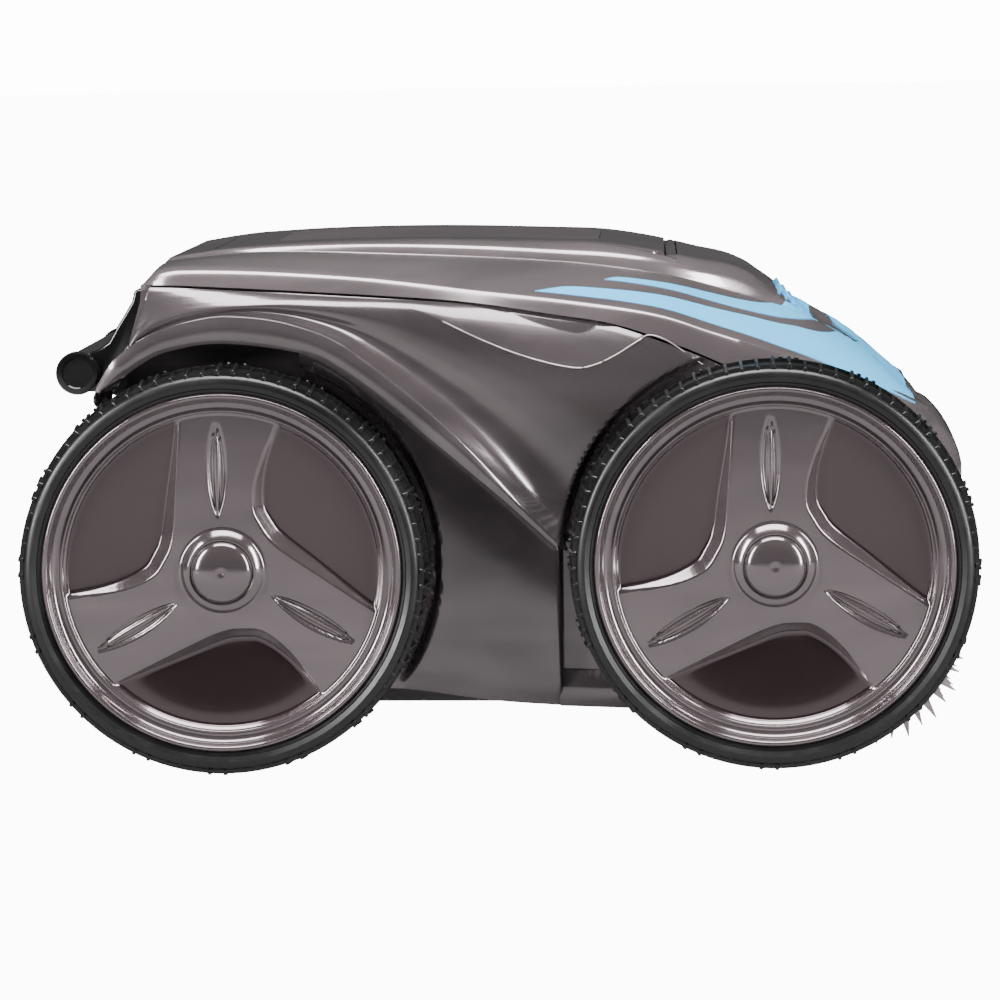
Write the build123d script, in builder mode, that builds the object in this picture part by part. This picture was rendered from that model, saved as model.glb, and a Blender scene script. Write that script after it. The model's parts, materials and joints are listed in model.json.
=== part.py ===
"""Four-wheeled robotic pool cleaner, 482 x 430 x 262 mm, as an assembly of separate pieces.

Frame: +X is the front of the machine (brush end), +Y its left side and +Z up. The origin is on the
floor, midway between the four wheels. Units are millimetres. Side parts are drawn for the right-hand
side (negative Y) and mirrored for the left.
"""

from build123d import *
from math import acos, cos, pi, radians, sin, tan
import os

os.makedirs("parts", exist_ok=True)

# ---------------------------------------------------------------- driving dimensions
WHEEL_RADIUS = 103.5  # over the tread
WHEEL_BASE = 275.0
HALF_WIDTH = 215.0  # outer face of the tyres
TYRE_WIDTH = 46.0
AXLE_Z = WHEEL_RADIUS
AXLE_X = WHEEL_BASE / 2
WHEEL_IN = HALF_WIDTH - TYRE_WIDTH  # inner face of the tyres, 169

WALL = 3.0  # moulded wall thickness
CHASSIS_IN, CHASSIS_OUT = 145.0, 148.0  # chassis side walls
COVER_IN, COVER_OUT = 162.0, 165.0  # side covers over the gear train
PANEL_FACE = 174.0  # outer face of the side panels
FENDER_FACE = 190.0  # outer face of the fender bands
GEAR_IN, GEAR_OUT = 151.0, 159.0  # plane of the traction gears

MODULE = 2.5
PRESSURE_ANGLE = radians(20)
BACKLASH = 0.45
WHEEL_TEETH, IDLER_TEETH, PINION_TEETH, BRUSH_TEETH = 50, 24, 12, 10
IDLER_X = MODULE * (PINION_TEETH + IDLER_TEETH) / 2  # 45, idlers sit between pinion and wheel gears
BRUSH_ANGLE = 6.5 * 360 / WHEEL_TEETH  # below the horizontal, a gap of the wheel gear
BRUSH_DISTANCE = MODULE * (WHEEL_TEETH + BRUSH_TEETH) / 2  # 75
BRUSH_X = AXLE_X + BRUSH_DISTANCE * cos(radians(BRUSH_ANGLE))
BRUSH_Z = AXLE_Z - BRUSH_DISTANCE * sin(radians(BRUSH_ANGLE))
BRUSH_RADIUS = 46.5
BRUSH_ARC = 51.0  # arch of the chassis over the brushes
RUN = 0.05  # radial clearance of a running fit

BEAD_RADIUS = 89.9  # where the tyre sits on the rim
AXLE_RADIUS, BUSH_RADIUS = 10.0, 13.0
HUB_END = 203.0  # outer end of the wheel's hub bore

PUMP_TILT = radians(43)  # the pump axis rises towards the front
GRILLE_CENTRE = (149.2, 0.0, 218.9)
PROPELLER_BACK = 62.0  # from the grille to the propeller's middle, along the pump axis
DUCT_RADIUS, PROPELLER_RADIUS = 32.0, 30.0
PUMP_SHAFT_RADIUS = 3.0

HOOD_HALF, CREASE_HALF, SHOULDER_HALF, DOME_HALF = 165.0, 161.0, 110.0, 105.0
HINGE_X, HINGE_Z = 88.0, 249.3  # lid hinge axis
LID_REAR, LID_FRONT, LID_HALF = -150.0, 85.0, 88.0
GAP = 1.0  # moulding gap around the lid
WINDOW_REAR, WINDOW_FRONT, WINDOW_HALF = -120.0, 50.0, 62.0
KNUCKLE, HINGE_PIN = 2.4, 1.2

HANDLE_X, HANDLE_Z, HANDLE_RADIUS = -215.0, 196.5, 10.0
HANDLE_CAP_RADIUS = 11.3
GLAND_Z, GLAND_RADIUS, GLAND_BORE = 140.0, 10.0, 4.2
INLET_REAR, INLET_FRONT, INLET_HALF = -128.0, -78.0, 55.0
FLAP_X, FLAP_Z = -73.0, 47.8  # hinge axis of the inlet flap

WHEELS = (
    ("front_left", 1, 1),
    ("front_right", 1, -1),
    ("rear_left", -1, 1),
    ("rear_right", -1, -1),
)


# ---------------------------------------------------------------- helpers
def across(y):
    """Plane at that Y, seen from the right-hand side: local x is X, local y is Z, extrudes to -Y."""
    return Plane(origin=(0, y, 0), x_dir=(1, 0, 0), z_dir=(0, -1, 0))


def save(piece, name):
    """Labels a finished piece and writes its STEP file."""
    piece.part.label = name
    export_step(piece.part, f"parts/{name}.step")


def sided(make, name):
    """Builds a right-hand piece and its mirror image."""
    right = make()
    with BuildPart() as left:
        mirror(right.part, about=Plane.XZ)
    save(right, f"{name}_right")
    save(left, f"{name}_left")


def placed(source, name, end, side):
    """A copy of a wheel piece, drawn about the Y axis for the right-hand side, at its own corner."""
    with BuildPart() as copy:
        shape = source.part if side < 0 else source.part.mirror(Plane.XZ)
        add(shape.moved(Location((end * AXLE_X, 0, AXLE_Z))))
    save(copy, name)


def gear_outline(teeth, phase=0.0, bore=0.0):
    """Involute gear drawn about the origin of the current sketch, one tooth centred at phase degrees."""
    pitch = MODULE * teeth / 2
    base = pitch * cos(PRESSURE_ANGLE)
    tip = pitch + 0.94 * MODULE
    root = pitch - 1.2 * MODULE
    involute_at_pitch = tan(PRESSURE_ANGLE) - PRESSURE_ANGLE
    half_at_pitch = pi / (2 * teeth) - BACKLASH / (2 * pitch)

    def half_angle(radius):
        roll = acos(min(1.0, base / radius))
        return half_at_pitch + involute_at_pitch - (tan(roll) - roll)

    low = max(base, root)
    undercut = 0.72 if teeth < 17 else 1.0
    flank = [(root, half_angle(low) * undercut), (low, half_angle(low) * (0.5 + 0.5 * undercut))]
    flank = flank if base > root else flank[:1]
    flank += [(pitch, half_angle(pitch)), ((pitch + tip) / 2, half_angle((pitch + tip) / 2))]
    flank += [(tip, half_angle(tip))]
    points = []
    for tooth in range(teeth):
        middle = radians(phase) + 2 * pi * tooth / teeth
        for radius, half in flank:
            points.append((radius * cos(middle - half), radius * sin(middle - half)))
        for radius, half in reversed(flank):
            points.append((radius * cos(middle + half), radius * sin(middle + half)))
    Polygon(*points, align=None)
    if bore:
        Circle(bore, mode=Mode.SUBTRACT)


def bars(points, radius, start, length, bore=0.0, mode=Mode.ADD):
    """Round bars or rings along -Y from y = -start, at several XZ points of the current part."""
    with BuildSketch(across(-start)) as section:
        with Locations(*points):
            Circle(radius)
            if bore:
                Circle(bore, mode=Mode.SUBTRACT)
    extrude(section.sketch, amount=length, mode=mode)


def mirrored_pair(source):
    """One part holding a right-hand piece and its mirror image."""
    with BuildPart() as pair:
        add(source.part)
        mirror(source.part, about=Plane.XZ)
    return pair


# ---------------------------------------------------------------- wheels, drawn about the Y axis
def make_tyre():
    """Rubber tyre with two staggered rows of tread blocks."""
    tread_base = WHEEL_RADIUS - 3.0
    block_width, blocks = 8.5, 36
    row_in, row_out = WHEEL_IN + 3.5, WHEEL_IN + 24.5
    row_length = 17.5
    with BuildPart() as tyre:
        with BuildSketch(Plane.XY):
            Polygon(
                (BEAD_RADIUS + 0.05, -WHEEL_IN),
                (tread_base - 4, -WHEEL_IN),
                (tread_base, -WHEEL_IN - 3),
                (tread_base, -HALF_WIDTH + 4.5),
                (tread_base - 2.5, -HALF_WIDTH + 1),
                (BEAD_RADIUS + 5, -HALF_WIDTH),
                (BEAD_RADIUS + 0.05, -HALF_WIDTH + 2.5),
                align=None,
            )
        revolve(axis=Axis.Y)
        for start, offset in ((row_in, 0), (row_out, 180 / blocks)):
            with BuildSketch(across(-start)):
                with PolarLocations(WHEEL_RADIUS - 2, blocks, start_angle=offset):
                    Rectangle(4, block_width)
            extrude(amount=row_length)
    return tyre


def make_pocket():
    """Outline of one of the three shallow pockets between the wheel's swept spokes."""
    crown = radians(30)
    with BuildSketch() as pocket:
        with BuildLine():
            edge = [(27.4, 72.3), (18.5, 50.2), (15.5, 34), (19.3, 23), (28, 12.5), (47, -1.4), (74.5, -20.5)]
            flank = Spline(*edge)
            ThreePointArc(flank @ 1, (77.3 * cos(crown), 77.3 * sin(crown)), flank @ 0)
        make_face()
    return pocket.sketch


def make_rim():
    """Moulded wheel: hub, dished face with three swept spokes, outer lip and barrel."""
    face, back, lip = 203.0, 200.0, 213.5
    with BuildPart() as rim:
        with BuildSketch(Plane.XY):
            Polygon(
                (BUSH_RADIUS + RUN, -WHEEL_IN - 3),
                (20, -WHEEL_IN - 3),
                (20, -back),
                (80, -back),
                (83, -lip + 6.5),
                (86, -lip + 5),
                (86, -WHEEL_IN - 2),
                (BEAD_RADIUS, -WHEEL_IN - 2),
                (BEAD_RADIUS, -lip + 1.5),
                (87.5, -lip),
                (85, -lip + 0.5),
                (82, -lip + 6),
                (80.2, -face - 0.8),
                (78, -face),
                (21.5, -face),
                (20, -face - 3.5),
                (17.5, -face - 5),
                (15.6, -face - 5),
                (15.6, -HUB_END),
                (BUSH_RADIUS + RUN, -HUB_END),
                align=None,
            )
        revolve(axis=Axis.Y)
        with BuildSketch(across(-face)):
            with Locations(*[Location((0, 0, 0), (0, 0, 120 * k)) for k in range(3)]):
                add(pocket_sketch)
        extrude(amount=-1.4, mode=Mode.SUBTRACT)
        with BuildSketch(across(-face)):
            for k in range(3):
                turn = 90 + 120 * k
                for shift in (-0.8, 4.4):
                    with Locations(Location((0, 0, 0), (0, 0, turn)) * Location((51, shift, 0))):
                        SlotOverall(46, 2.6)
        extrude(amount=-1.0, mode=Mode.SUBTRACT)
    return rim


def make_wheel_gear():
    """Spur gear on a skirt that stands against the back of the wheel's face."""
    skirt_in, skirt_out, rim_back = 52.0, 56.0, 200.0
    with BuildPart() as gear:
        with BuildSketch(across(-GEAR_IN)):
            gear_outline(WHEEL_TEETH, 0, skirt_in)
        extrude(amount=GEAR_OUT - GEAR_IN)
        with BuildSketch(across(-GEAR_OUT)):
            Circle(skirt_out)
            Circle(skirt_in, mode=Mode.SUBTRACT)
        extrude(amount=rim_back - GEAR_OUT)
    return gear


def make_hub_cap():
    """Domed cap pressed into the counterbore of the hub."""
    edge, crown, outer, dome_radius, cavity_radius = 205.8, 214.3, 15.55, 22.9, 20.2
    with BuildPart() as cap:
        bars([(0, 0)], outer, edge, crown - edge + 1)
        with Locations((0, dome_radius - crown, 0)):
            Sphere(dome_radius, rotation=(90, 0, 0), mode=Mode.INTERSECT)
        with Locations((0, dome_radius - crown, 0)):
            Sphere(cavity_radius, rotation=(90, 0, 0), mode=Mode.SUBTRACT)
    return cap


pocket_sketch = make_pocket()

wheel_pieces = (
    ("tyre", make_tyre()),
    ("rim", make_rim()),
    ("wheel_gear", make_wheel_gear()),
    ("hub_cap", make_hub_cap()),
)
for corner, end, side in WHEELS:
    for kind, piece in wheel_pieces:
        placed(piece, f"{kind}_{corner}", end, side)

# ---------------------------------------------------------------- axles and gear train, fixed pieces
corner_points = [(end * AXLE_X, AXLE_Z) for end in (1, -1)]
idler_points = [(end * IDLER_X, AXLE_Z) for end in (1, -1)]


SCREW_SHANK, SCREW_HEAD = 2.5, 5.0
WASHER_AT = HUB_END + 0.3

# axle with a flange on the chassis wall and a screw hole in its end
with BuildPart() as stub_axle:
    bars(corner_points, 26, CHASSIS_OUT, 3)
    bars(corner_points, AXLE_RADIUS, CHASSIS_IN - 5, WASHER_AT - CHASSIS_IN + 5)
    bars(corner_points, SCREW_SHANK + RUN, WASHER_AT - 16, 16, mode=Mode.SUBTRACT)
save(mirrored_pair(stub_axle), "stub_axles")

# plain bearing on each stub axle
with BuildPart() as axle_bush:
    bars(corner_points, BUSH_RADIUS, WHEEL_IN + 3, HUB_END - WHEEL_IN - 3, AXLE_RADIUS + 0.02)
save(mirrored_pair(axle_bush), "axle_bushes")

# washer that holds each wheel on, and its screw
with BuildPart() as axle_washer:
    bars(corner_points, 14.6, WASHER_AT, 2, SCREW_SHANK + RUN)
save(mirrored_pair(axle_washer), "axle_washers")
with BuildPart() as axle_screw:
    bars(corner_points, SCREW_HEAD, WASHER_AT + 2, 3)
    bars(corner_points, SCREW_SHANK, WASHER_AT - 15, 17)
save(mirrored_pair(axle_screw), "axle_screws")

# pins that carry the idler gears
with BuildPart() as idler_pin:
    bars(idler_points, 5.0, CHASSIS_IN - 3, COVER_IN - 0.5 - CHASSIS_IN + 3)
save(mirrored_pair(idler_pin), "idler_pins")


def make_idler(end):
    """Idler gear with a hub on each face."""
    with BuildPart() as idler:
        with BuildSketch(across(-GEAR_IN)):
            with Locations((end * IDLER_X, AXLE_Z)):
                gear_outline(IDLER_TEETH, 180 / IDLER_TEETH, 5.0 + RUN)
        extrude(amount=GEAR_OUT - GEAR_IN)
        bars([(end * IDLER_X, AXLE_Z)], 9, CHASSIS_OUT + 0.3, GEAR_IN - CHASSIS_OUT - 0.3, 5.0 + RUN)
        bars([(end * IDLER_X, AXLE_Z)], 9, GEAR_OUT, COVER_IN - 0.4 - GEAR_OUT, 5.0 + RUN)
    return idler


for place, end in (("front", 1), ("rear", -1)):
    sided(lambda: make_idler(end), f"idler_gear_{place}")

MOTOR_HALF = 112.0  # half width of the motor block
OUTPUT_RADIUS = 4.0


def make_drive_pinion():
    """Pinion on the traction motor's output shaft."""
    with BuildPart() as pinion:
        with BuildSketch(across(-GEAR_IN)):
            with Locations((0, AXLE_Z)):
                gear_outline(PINION_TEETH, 0)
        extrude(amount=GEAR_OUT - GEAR_IN)
        bars([(0, AXLE_Z)], OUTPUT_RADIUS, MOTOR_HALF - 12, COVER_IN - 1 - MOTOR_HALF + 12)
    return pinion


sided(make_drive_pinion, "drive_pinion")

# ---------------------------------------------------------------- brushes
BRUSH_IN, BRUSH_OUT = 6.0, 142.0
CORE_RADIUS, CORE_BORE, SLEEVE_RADIUS = 15.0, 11.0, 18.0
JOURNAL = 5.0
brush_point = [(BRUSH_X, BRUSH_Z)]


def make_brush_core():
    """Tube with an end disc at each end; the inner one runs on the middle pin."""
    with BuildPart() as core:
        bars(brush_point, CORE_RADIUS, BRUSH_IN, BRUSH_OUT - BRUSH_IN, CORE_BORE)
        bars(brush_point, CORE_RADIUS, BRUSH_IN, 5, JOURNAL + RUN)
        bars(brush_point, CORE_RADIUS, BRUSH_OUT - 8, 8, JOURNAL + 0.02)
    return core


def make_brush_blades():
    """Flexible sleeve with rows of pointed blades, staggered from one ring to the next."""
    rings, rows, gap = 5, 13, 2.0
    pitch = (BRUSH_OUT - BRUSH_IN) / rings
    with BuildPart() as blades:
        bars(brush_point, SLEEVE_RADIUS, BRUSH_IN, BRUSH_OUT - BRUSH_IN, CORE_RADIUS + 0.02)
        for ring in range(rings):
            with BuildSketch(across(-BRUSH_IN - ring * pitch - gap / 2)):
                with Locations((BRUSH_X, BRUSH_Z)):
                    with PolarLocations(0, rows, start_angle=(ring % 2) * 180 / rows):
                        Polygon(
                            (SLEEVE_RADIUS - 1, -1.6),
                            (SLEEVE_RADIUS + 14, -1.5),
                            (BRUSH_RADIUS, 0.2),
                            (BRUSH_RADIUS, 1.1),
                            (SLEEVE_RADIUS + 14, 1.5),
                            (SLEEVE_RADIUS - 1, 1.6),
                            align=None,
                        )
            extrude(amount=pitch - gap)
    return blades


def make_brush_gear():
    """Gear that the front wheel's gear drives, with the journal that carries the brush."""
    phase = 180 - BRUSH_ANGLE
    with BuildPart() as gear:
        with BuildSketch(across(-GEAR_IN)):
            with Locations((BRUSH_X, BRUSH_Z)):
                gear_outline(BRUSH_TEETH, phase)
        extrude(amount=GEAR_OUT - GEAR_IN)
        bars(brush_point, JOURNAL, BRUSH_OUT - 8, COVER_IN - 0.6 - BRUSH_OUT + 8)
    return gear


sided(make_brush_core, "brush_core")
sided(make_brush_blades, "brush_blades")
sided(make_brush_gear, "brush_gear")

with BuildPart() as brush_bearings:
    bars(brush_point, JOURNAL, -BRUSH_IN - 4, 2 * (BRUSH_IN + 4))
    bars(brush_point, 8, CHASSIS_IN - 1.5, 6, JOURNAL + RUN)
    bars(brush_point, 8, -CHASSIS_IN - 4.5, 6, JOURNAL + RUN)
save(brush_bearings, "brush_bearings")

# ---------------------------------------------------------------- outlines of the shell, as X, Z points
SEAM = [(-182, 244.9), (-157, 244), (-75, 238.9), (-16.5, 234.2), (26.7, 227.5), (59.5, 221.7)]
SEAM += [(94.2, 208.9), (130, 192), (170, 179), (216, 169.5)]
CREASE = [(-181, 248), (-160, 251.4), (-75, 247.2), (-6, 238.8), (37.7, 233.5), (81, 226.4)]
CREASE += [(110, 215.6), (136, 207.3), (172, 195), (212, 175)]
SHOULDER = [(-181, 250), (-160, 256), (-121, 258.8), (-48, 256.2), (29, 251.5), (68, 246.8)]
SHOULDER += [(94, 241.4), (132, 229.3), (158, 216), (186, 198), (212, 175)]
CENTRE = [(-181, 250), (-160, 255), (-121, 257), (-48, 256.2), (29, 251), (80, 243)]
CENTRE += [(110, 232), (135, 221), (158.5, 208.8), (184.5, 194), (212, 175)]
DOME = [(-176, 252), (-151.5, 257.7), (-126.8, 260.6), (-83.9, 262.3), (-31.6, 262.4)]
DOME += [(25.9, 260.3), (52.5, 258), (79, 253.8), (100.4, 249), (118.9, 242.6), (138.5, 231.2)]
CREST = [(-204.8, 184.6), (-199.6, 197.2), (-190.4, 209.6), (-174.2, 220.6), (-154, 227.4)]
CREST += [(-134, 229.8), (-104, 225.6), (-74.2, 212.8), (-24.6, 172.3), (29.8, 116)]
BAND_EDGE = [(-196.6, 184.6), (-190, 194), (-174.3, 206.5), (-154.2, 213.9), (-134.2, 215.8)]
BAND_EDGE += [(-99.2, 211), (-84.3, 205.4), (-49.6, 180), (0, 138), (28.8, 111.1)]
BODY_REAR = [(-181.5, 243), (-182.4, 235.1), (-188.6, 213.7), (-190, 200), (-190, 60)]
BODY_BOTTOM = [(-176, 30), (-95, 30), (-54.6, 40.2), (-1.7, 32.8), (68.7, 28), (150, 28), (195, 36)]
BODY_FRONT = [(212, 60), (214, 100), (214, 166)]
SCOOP = [(-45.5, 235.2), (-27.1, 225), (-5.6, 214.5), (16.3, 206.1), (37.8, 200.9), (48.8, 202.1)]
SCOOP += [(59.6, 206.9), (76.5, 216.4), (79, 214)]


def shifted(points, x=0.0, z=0.0):
    """The same outline moved."""
    return [(point[0] + x, point[1] + z) for point in points]


def under_curve(y, points, drop, floor):
    """Face under a smooth top line, pulled in by drop at the top and at both ends, on the plane at y."""
    rear, front = points[0][0] + drop, points[-1][0] - drop
    middle = [(px, pz - drop) for px, pz in points[1:-1]]
    line = [(rear, points[0][1] - drop), *middle, (front, points[-1][1] - drop)]
    with BuildSketch(across(y)) as face:
        with BuildLine():
            Spline(*line)
            Polyline(line[-1], (front, floor), (rear, floor), line[0])
        make_face()
    return face.sketch


def shell_form(drop, floor=140.0):
    """Solid form of the hood without its dome, drawn in by drop."""
    half = HOOD_HALF - drop
    with BuildPart() as form:
        faces = [
            under_curve(-half, shifted(CREASE, z=-3), drop, floor),
            under_curve(-CREASE_HALF + drop, CREASE, drop, floor),
            under_curve(-SHOULDER_HALF, SHOULDER, drop, floor),
            under_curve(-50, CENTRE, drop, floor),
            under_curve(50, CENTRE, drop, floor),
            under_curve(SHOULDER_HALF, SHOULDER, drop, floor),
            under_curve(CREASE_HALF - drop, CREASE, drop, floor),
            under_curve(half, shifted(CREASE, z=-3), drop, floor),
        ]
        loft(faces, ruled=True)
        with BuildSketch(Plane.XY) as plan:
            with Locations((16, 0)):
                RectangleRounded(396 - 2 * drop, 2 * half, 38 - drop)
        extrude(plan.sketch, amount=300, mode=Mode.INTERSECT)
    return form.part


def dome_form(drop, floor=200.0):
    """Solid form of the raised middle of the hood, drawn in by drop, with the grille's slope in front."""
    half = DOME_HALF - drop
    with BuildPart() as form:
        extrude(under_curve(half, [*DOME, (162, 205)], drop, floor), amount=2 * half)
        with BuildSketch(Plane.XY) as plan:
            with BuildLine():
                Polyline((-178 + drop, 0), (-178 + drop, half - 14), (-164 + drop, half), (40, half))
                Spline((40, half), (88, half - 4), (126, half - 22), (158 - drop, 60 - drop))
                Polyline((158 - drop, 60 - drop), (160 - drop, 0), (-178 + drop, 0))
            make_face()
            mirror(about=Plane.XZ)
        extrude(plan.sketch, amount=300, mode=Mode.INTERSECT)
    return form.part


# ---------------------------------------------------------------- hood, grille, lid and window
grille_plane = Plane(
    origin=GRILLE_CENTRE,
    x_dir=(0, 1, 0),
    z_dir=(cos(PUMP_TILT), 0, sin(PUMP_TILT)),
)


def slab(x_rear, x_front, half, corner, low, high, mode=Mode.ADD):
    """Rounded rectangular block symmetric in Y, between two heights."""
    with BuildSketch(Plane.XY.offset(low)) as plan:
        with Locations(((x_rear + x_front) / 2, 0)):
            RectangleRounded(x_front - x_rear, 2 * half, corner)
    extrude(plan.sketch, amount=high - low, mode=mode)


def block(x_range, y_range, z_range, mode=Mode.ADD):
    """Rectangular block between coordinate pairs."""
    with Locations((sum(x_range) / 2, sum(y_range) / 2, sum(z_range) / 2)):
        sizes = [pair[1] - pair[0] for pair in (x_range, y_range, z_range)]
        Box(*sizes, mode=mode)


KNUCKLES_LID = [(-60, -40), (-10, 10), (40, 60)]
KNUCKLES_HOOD = [(-38.5, -25), (25, 38.5)]

form_outer = shell_form(0) + dome_form(0)
form_inner = shell_form(WALL, 120) + dome_form(WALL, 190)
form_skin = form_outer - form_inner


def make_stripes():
    """Two coloured inlays on each shoulder, sunk flush into the hood."""
    depth = 0.8
    with BuildPart() as stripes:
        with BuildSketch(Plane.XY) as plan:
            with BuildLine():
                Spline((19, -156.5), (34, -151.5), (110, -148), (150, -146), (176, -134), (207, -112))
                Polyline((207, -112), (213, -140), (186, -159))
                Spline((186, -159), (110, -159.5), (19, -156.5))
            make_face()
            with BuildLine():
                Spline((54, -136), (60, -131), (110, -126), (135, -118), (152, -92), (166, -66))
                Spline((166, -66), (162, -100), (146, -124), (110, -135), (54, -136))
            make_face()
            mirror(about=Plane.XZ)
        extrude(plan.sketch, amount=300)
        add(form_outer, mode=Mode.INTERSECT)
        add(shell_form(0).moved(Location((0, 0, -depth))), mode=Mode.SUBTRACT)
    return stripes


stripes = make_stripes()
save(stripes, "accent_stripes")

with BuildPart() as hood:
    add(form_skin)
    with BuildSketch(Plane.XZ) as above_seam:
        with BuildLine():
            Spline(*SEAM)
            Polyline(SEAM[-1], (240, 300), (-240, 300), (-240, SEAM[0][1]), SEAM[0])
        make_face()
    extrude(above_seam.sketch, amount=200, both=True, mode=Mode.INTERSECT)
    slab(LID_REAR - GAP, HINGE_X + KNUCKLE + 0.5, LID_HALF + GAP, 12, 200, 300, mode=Mode.SUBTRACT)
    slab(LID_REAR - 12, LID_REAR + 8, 22, 6, 256.5, 300, mode=Mode.SUBTRACT)
    with BuildSketch(grille_plane.offset(-12)) as opening:
        RectangleRounded(104.4, 30.4, 8)
    extrude(opening.sketch, amount=30, mode=Mode.SUBTRACT)
    for low, high in KNUCKLES_HOOD:
        bars([(HINGE_X, HINGE_Z)], KNUCKLE, -high, high - low)
        block((HINGE_X, HINGE_X + 5), (low, high), (HINGE_Z - 2.2, HINGE_Z - 0.4))
    for low, high in KNUCKLES_HOOD:
        bars([(HINGE_X, HINGE_Z)], HINGE_PIN + RUN, -high - 1, high - low + 2, mode=Mode.SUBTRACT)
    add(stripes.part, mode=Mode.SUBTRACT)
save(hood, "hood")

with BuildPart() as lid_frame:
    add(dome_form(0) - dome_form(WALL, 190))
    slab(LID_REAR, LID_FRONT, LID_HALF, 11, 225, 300, mode=Mode.INTERSECT)
    slab(WINDOW_REAR, WINDOW_FRONT, WINDOW_HALF, 18, 200, 300, mode=Mode.SUBTRACT)
    ledge = dome_form(WALL, 190) - dome_form(WALL + 2, 185)
    with BuildPart(mode=Mode.PRIVATE) as ledge_ring:
        slab(WINDOW_REAR - 5, WINDOW_FRONT + 5, WINDOW_HALF + 5, 20, 200, 300)
        slab(WINDOW_REAR + 5, WINDOW_FRONT - 5, WINDOW_HALF - 5, 14, 200, 300, mode=Mode.SUBTRACT)
        add(ledge, mode=Mode.INTERSECT)
    add(ledge_ring.part)
    for low, high in KNUCKLES_LID:
        bars([(HINGE_X, HINGE_Z)], KNUCKLE, -high, high - low)
        block((LID_FRONT - 3, HINGE_X), (low, high), (HINGE_Z - 0.6, HINGE_Z + 1.2))
    bars([(HINGE_X, HINGE_Z)], HINGE_PIN, -40, 80)
save(lid_frame, "lid_frame")

with BuildPart() as lid_window:
    add(dome_form(0) - dome_form(WALL, 190))
    slab(WINDOW_REAR + 0.1, WINDOW_FRONT - 0.1, WINDOW_HALF - 0.1, 17.9, 200, 300, mode=Mode.INTERSECT)
save(lid_window, "lid_window")

with BuildPart() as outlet_grille:
    with BuildSketch(grille_plane.offset(-2.5)) as surround:
        RectangleRounded(104, 30, 8)
        RectangleRounded(97, 23, 5, mode=Mode.SUBTRACT)
    extrude(surround.sketch, amount=4)
    with BuildSketch(grille_plane.offset(-2.5)) as slats:
        Rectangle(98, 2)
        with GridLocations(9.6, 0, 9, 1):
            Rectangle(2, 24)
    extrude(slats.sketch, amount=3.5)
    with BuildSketch(grille_plane.offset(1)) as fins:
        with GridLocations(9.6, 9.5, 9, 3):
            Rectangle(1.6, 2.5)
    extrude(fins.sketch, amount=2.5)
save(outlet_grille, "outlet_grille")

# ---------------------------------------------------------------- pump: duct, propeller and shaft
def duct_form(grow):
    """Solid form of the duct: a round tube that widens into the grille's mouth."""
    size = 2 * (DUCT_RADIUS + grow)
    with BuildPart() as form:
        with BuildSketch(grille_plane.offset(-2.6)) as mouth:
            RectangleRounded(97 + 1.6 * grow, 23 + 1.6 * grow, 6)
        with BuildSketch(grille_plane.offset(-40)) as throat:
            RectangleRounded(size, size, size / 2 - 0.1)
        loft([throat.sketch, mouth.sketch], ruled=True)
        extrude(throat.sketch, amount=-42)
    return form.part


with BuildPart() as outlet_duct:
    add(duct_form(3))
    add(duct_form(0), mode=Mode.SUBTRACT)
    with BuildSketch(grille_plane.offset(-90)) as ends:
        Circle(DUCT_RADIUS)
    extrude(ends.sketch, amount=50, mode=Mode.SUBTRACT)
save(outlet_duct, "outlet_duct")

with BuildPart() as pump_shaft:
    with BuildSketch(grille_plane.offset(-PROPELLER_BACK + 9)) as shaft_section:
        Circle(PUMP_SHAFT_RADIUS)
    extrude(shaft_section.sketch, amount=-76 + 9)
save(pump_shaft, "pump_shaft")


def make_propeller():
    """Three-bladed axial propeller pressed on the pump shaft."""
    hub_radius, hub_length, blades = 9.0, 14.0, 3
    middle = grille_plane.offset(-PROPELLER_BACK)
    with BuildPart() as propeller:
        with BuildSketch(middle.offset(-hub_length / 2)) as hub:
            Circle(hub_radius)
        extrude(hub.sketch, amount=hub_length)
        for k in range(blades):
            turn = 2 * pi * k / blades
            outward = middle.x_dir * cos(turn) + middle.y_dir * sin(turn)
            around = middle.z_dir.cross(outward)
            sections = []
            for radius, chord, pitch in ((hub_radius - 2, 13, 52), (PROPELLER_RADIUS, 24, 28)):
                plane = Plane(origin=middle.origin + outward * radius, x_dir=around, z_dir=outward)
                with BuildSketch(plane) as blade:
                    RectangleRounded(chord, 2.4, 1, rotation=pitch)
                sections.append(blade.sketch)
            loft(sections)
        with BuildSketch(middle.offset(-30)) as swept_ring:
            Circle(PROPELLER_RADIUS)
            Circle(PUMP_SHAFT_RADIUS, mode=Mode.SUBTRACT)
        extrude(swept_ring.sketch, amount=60, mode=Mode.INTERSECT)
    return propeller


save(make_propeller(), "propeller")

# ---------------------------------------------------------------- motor block
MOTOR_LOW, MOTOR_HIGH, MOTOR_DEPTH = 62.0, 128.0, 45.0

with BuildPart() as motor_case:
    slab(-MOTOR_DEPTH, MOTOR_DEPTH, MOTOR_HALF, 10, MOTOR_LOW, MOTOR_HIGH)
    with BuildSketch(grille_plane.offset(-100)) as pump_motor:
        Circle(26)
    extrude(pump_motor.sketch, amount=-60)
    with BuildSketch(grille_plane.offset(-100)) as shaft_hole:
        Circle(PUMP_SHAFT_RADIUS + RUN)
    extrude(shaft_hole.sketch, amount=-30, mode=Mode.SUBTRACT)
    bars([(0, AXLE_Z)], OUTPUT_RADIUS + RUN, MOTOR_HALF - 12.5, 20, mode=Mode.SUBTRACT)
    bars([(0, AXLE_Z)], OUTPUT_RADIUS + RUN, -MOTOR_HALF - 10, 22.5, mode=Mode.SUBTRACT)
save(motor_case, "motor_case")

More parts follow.
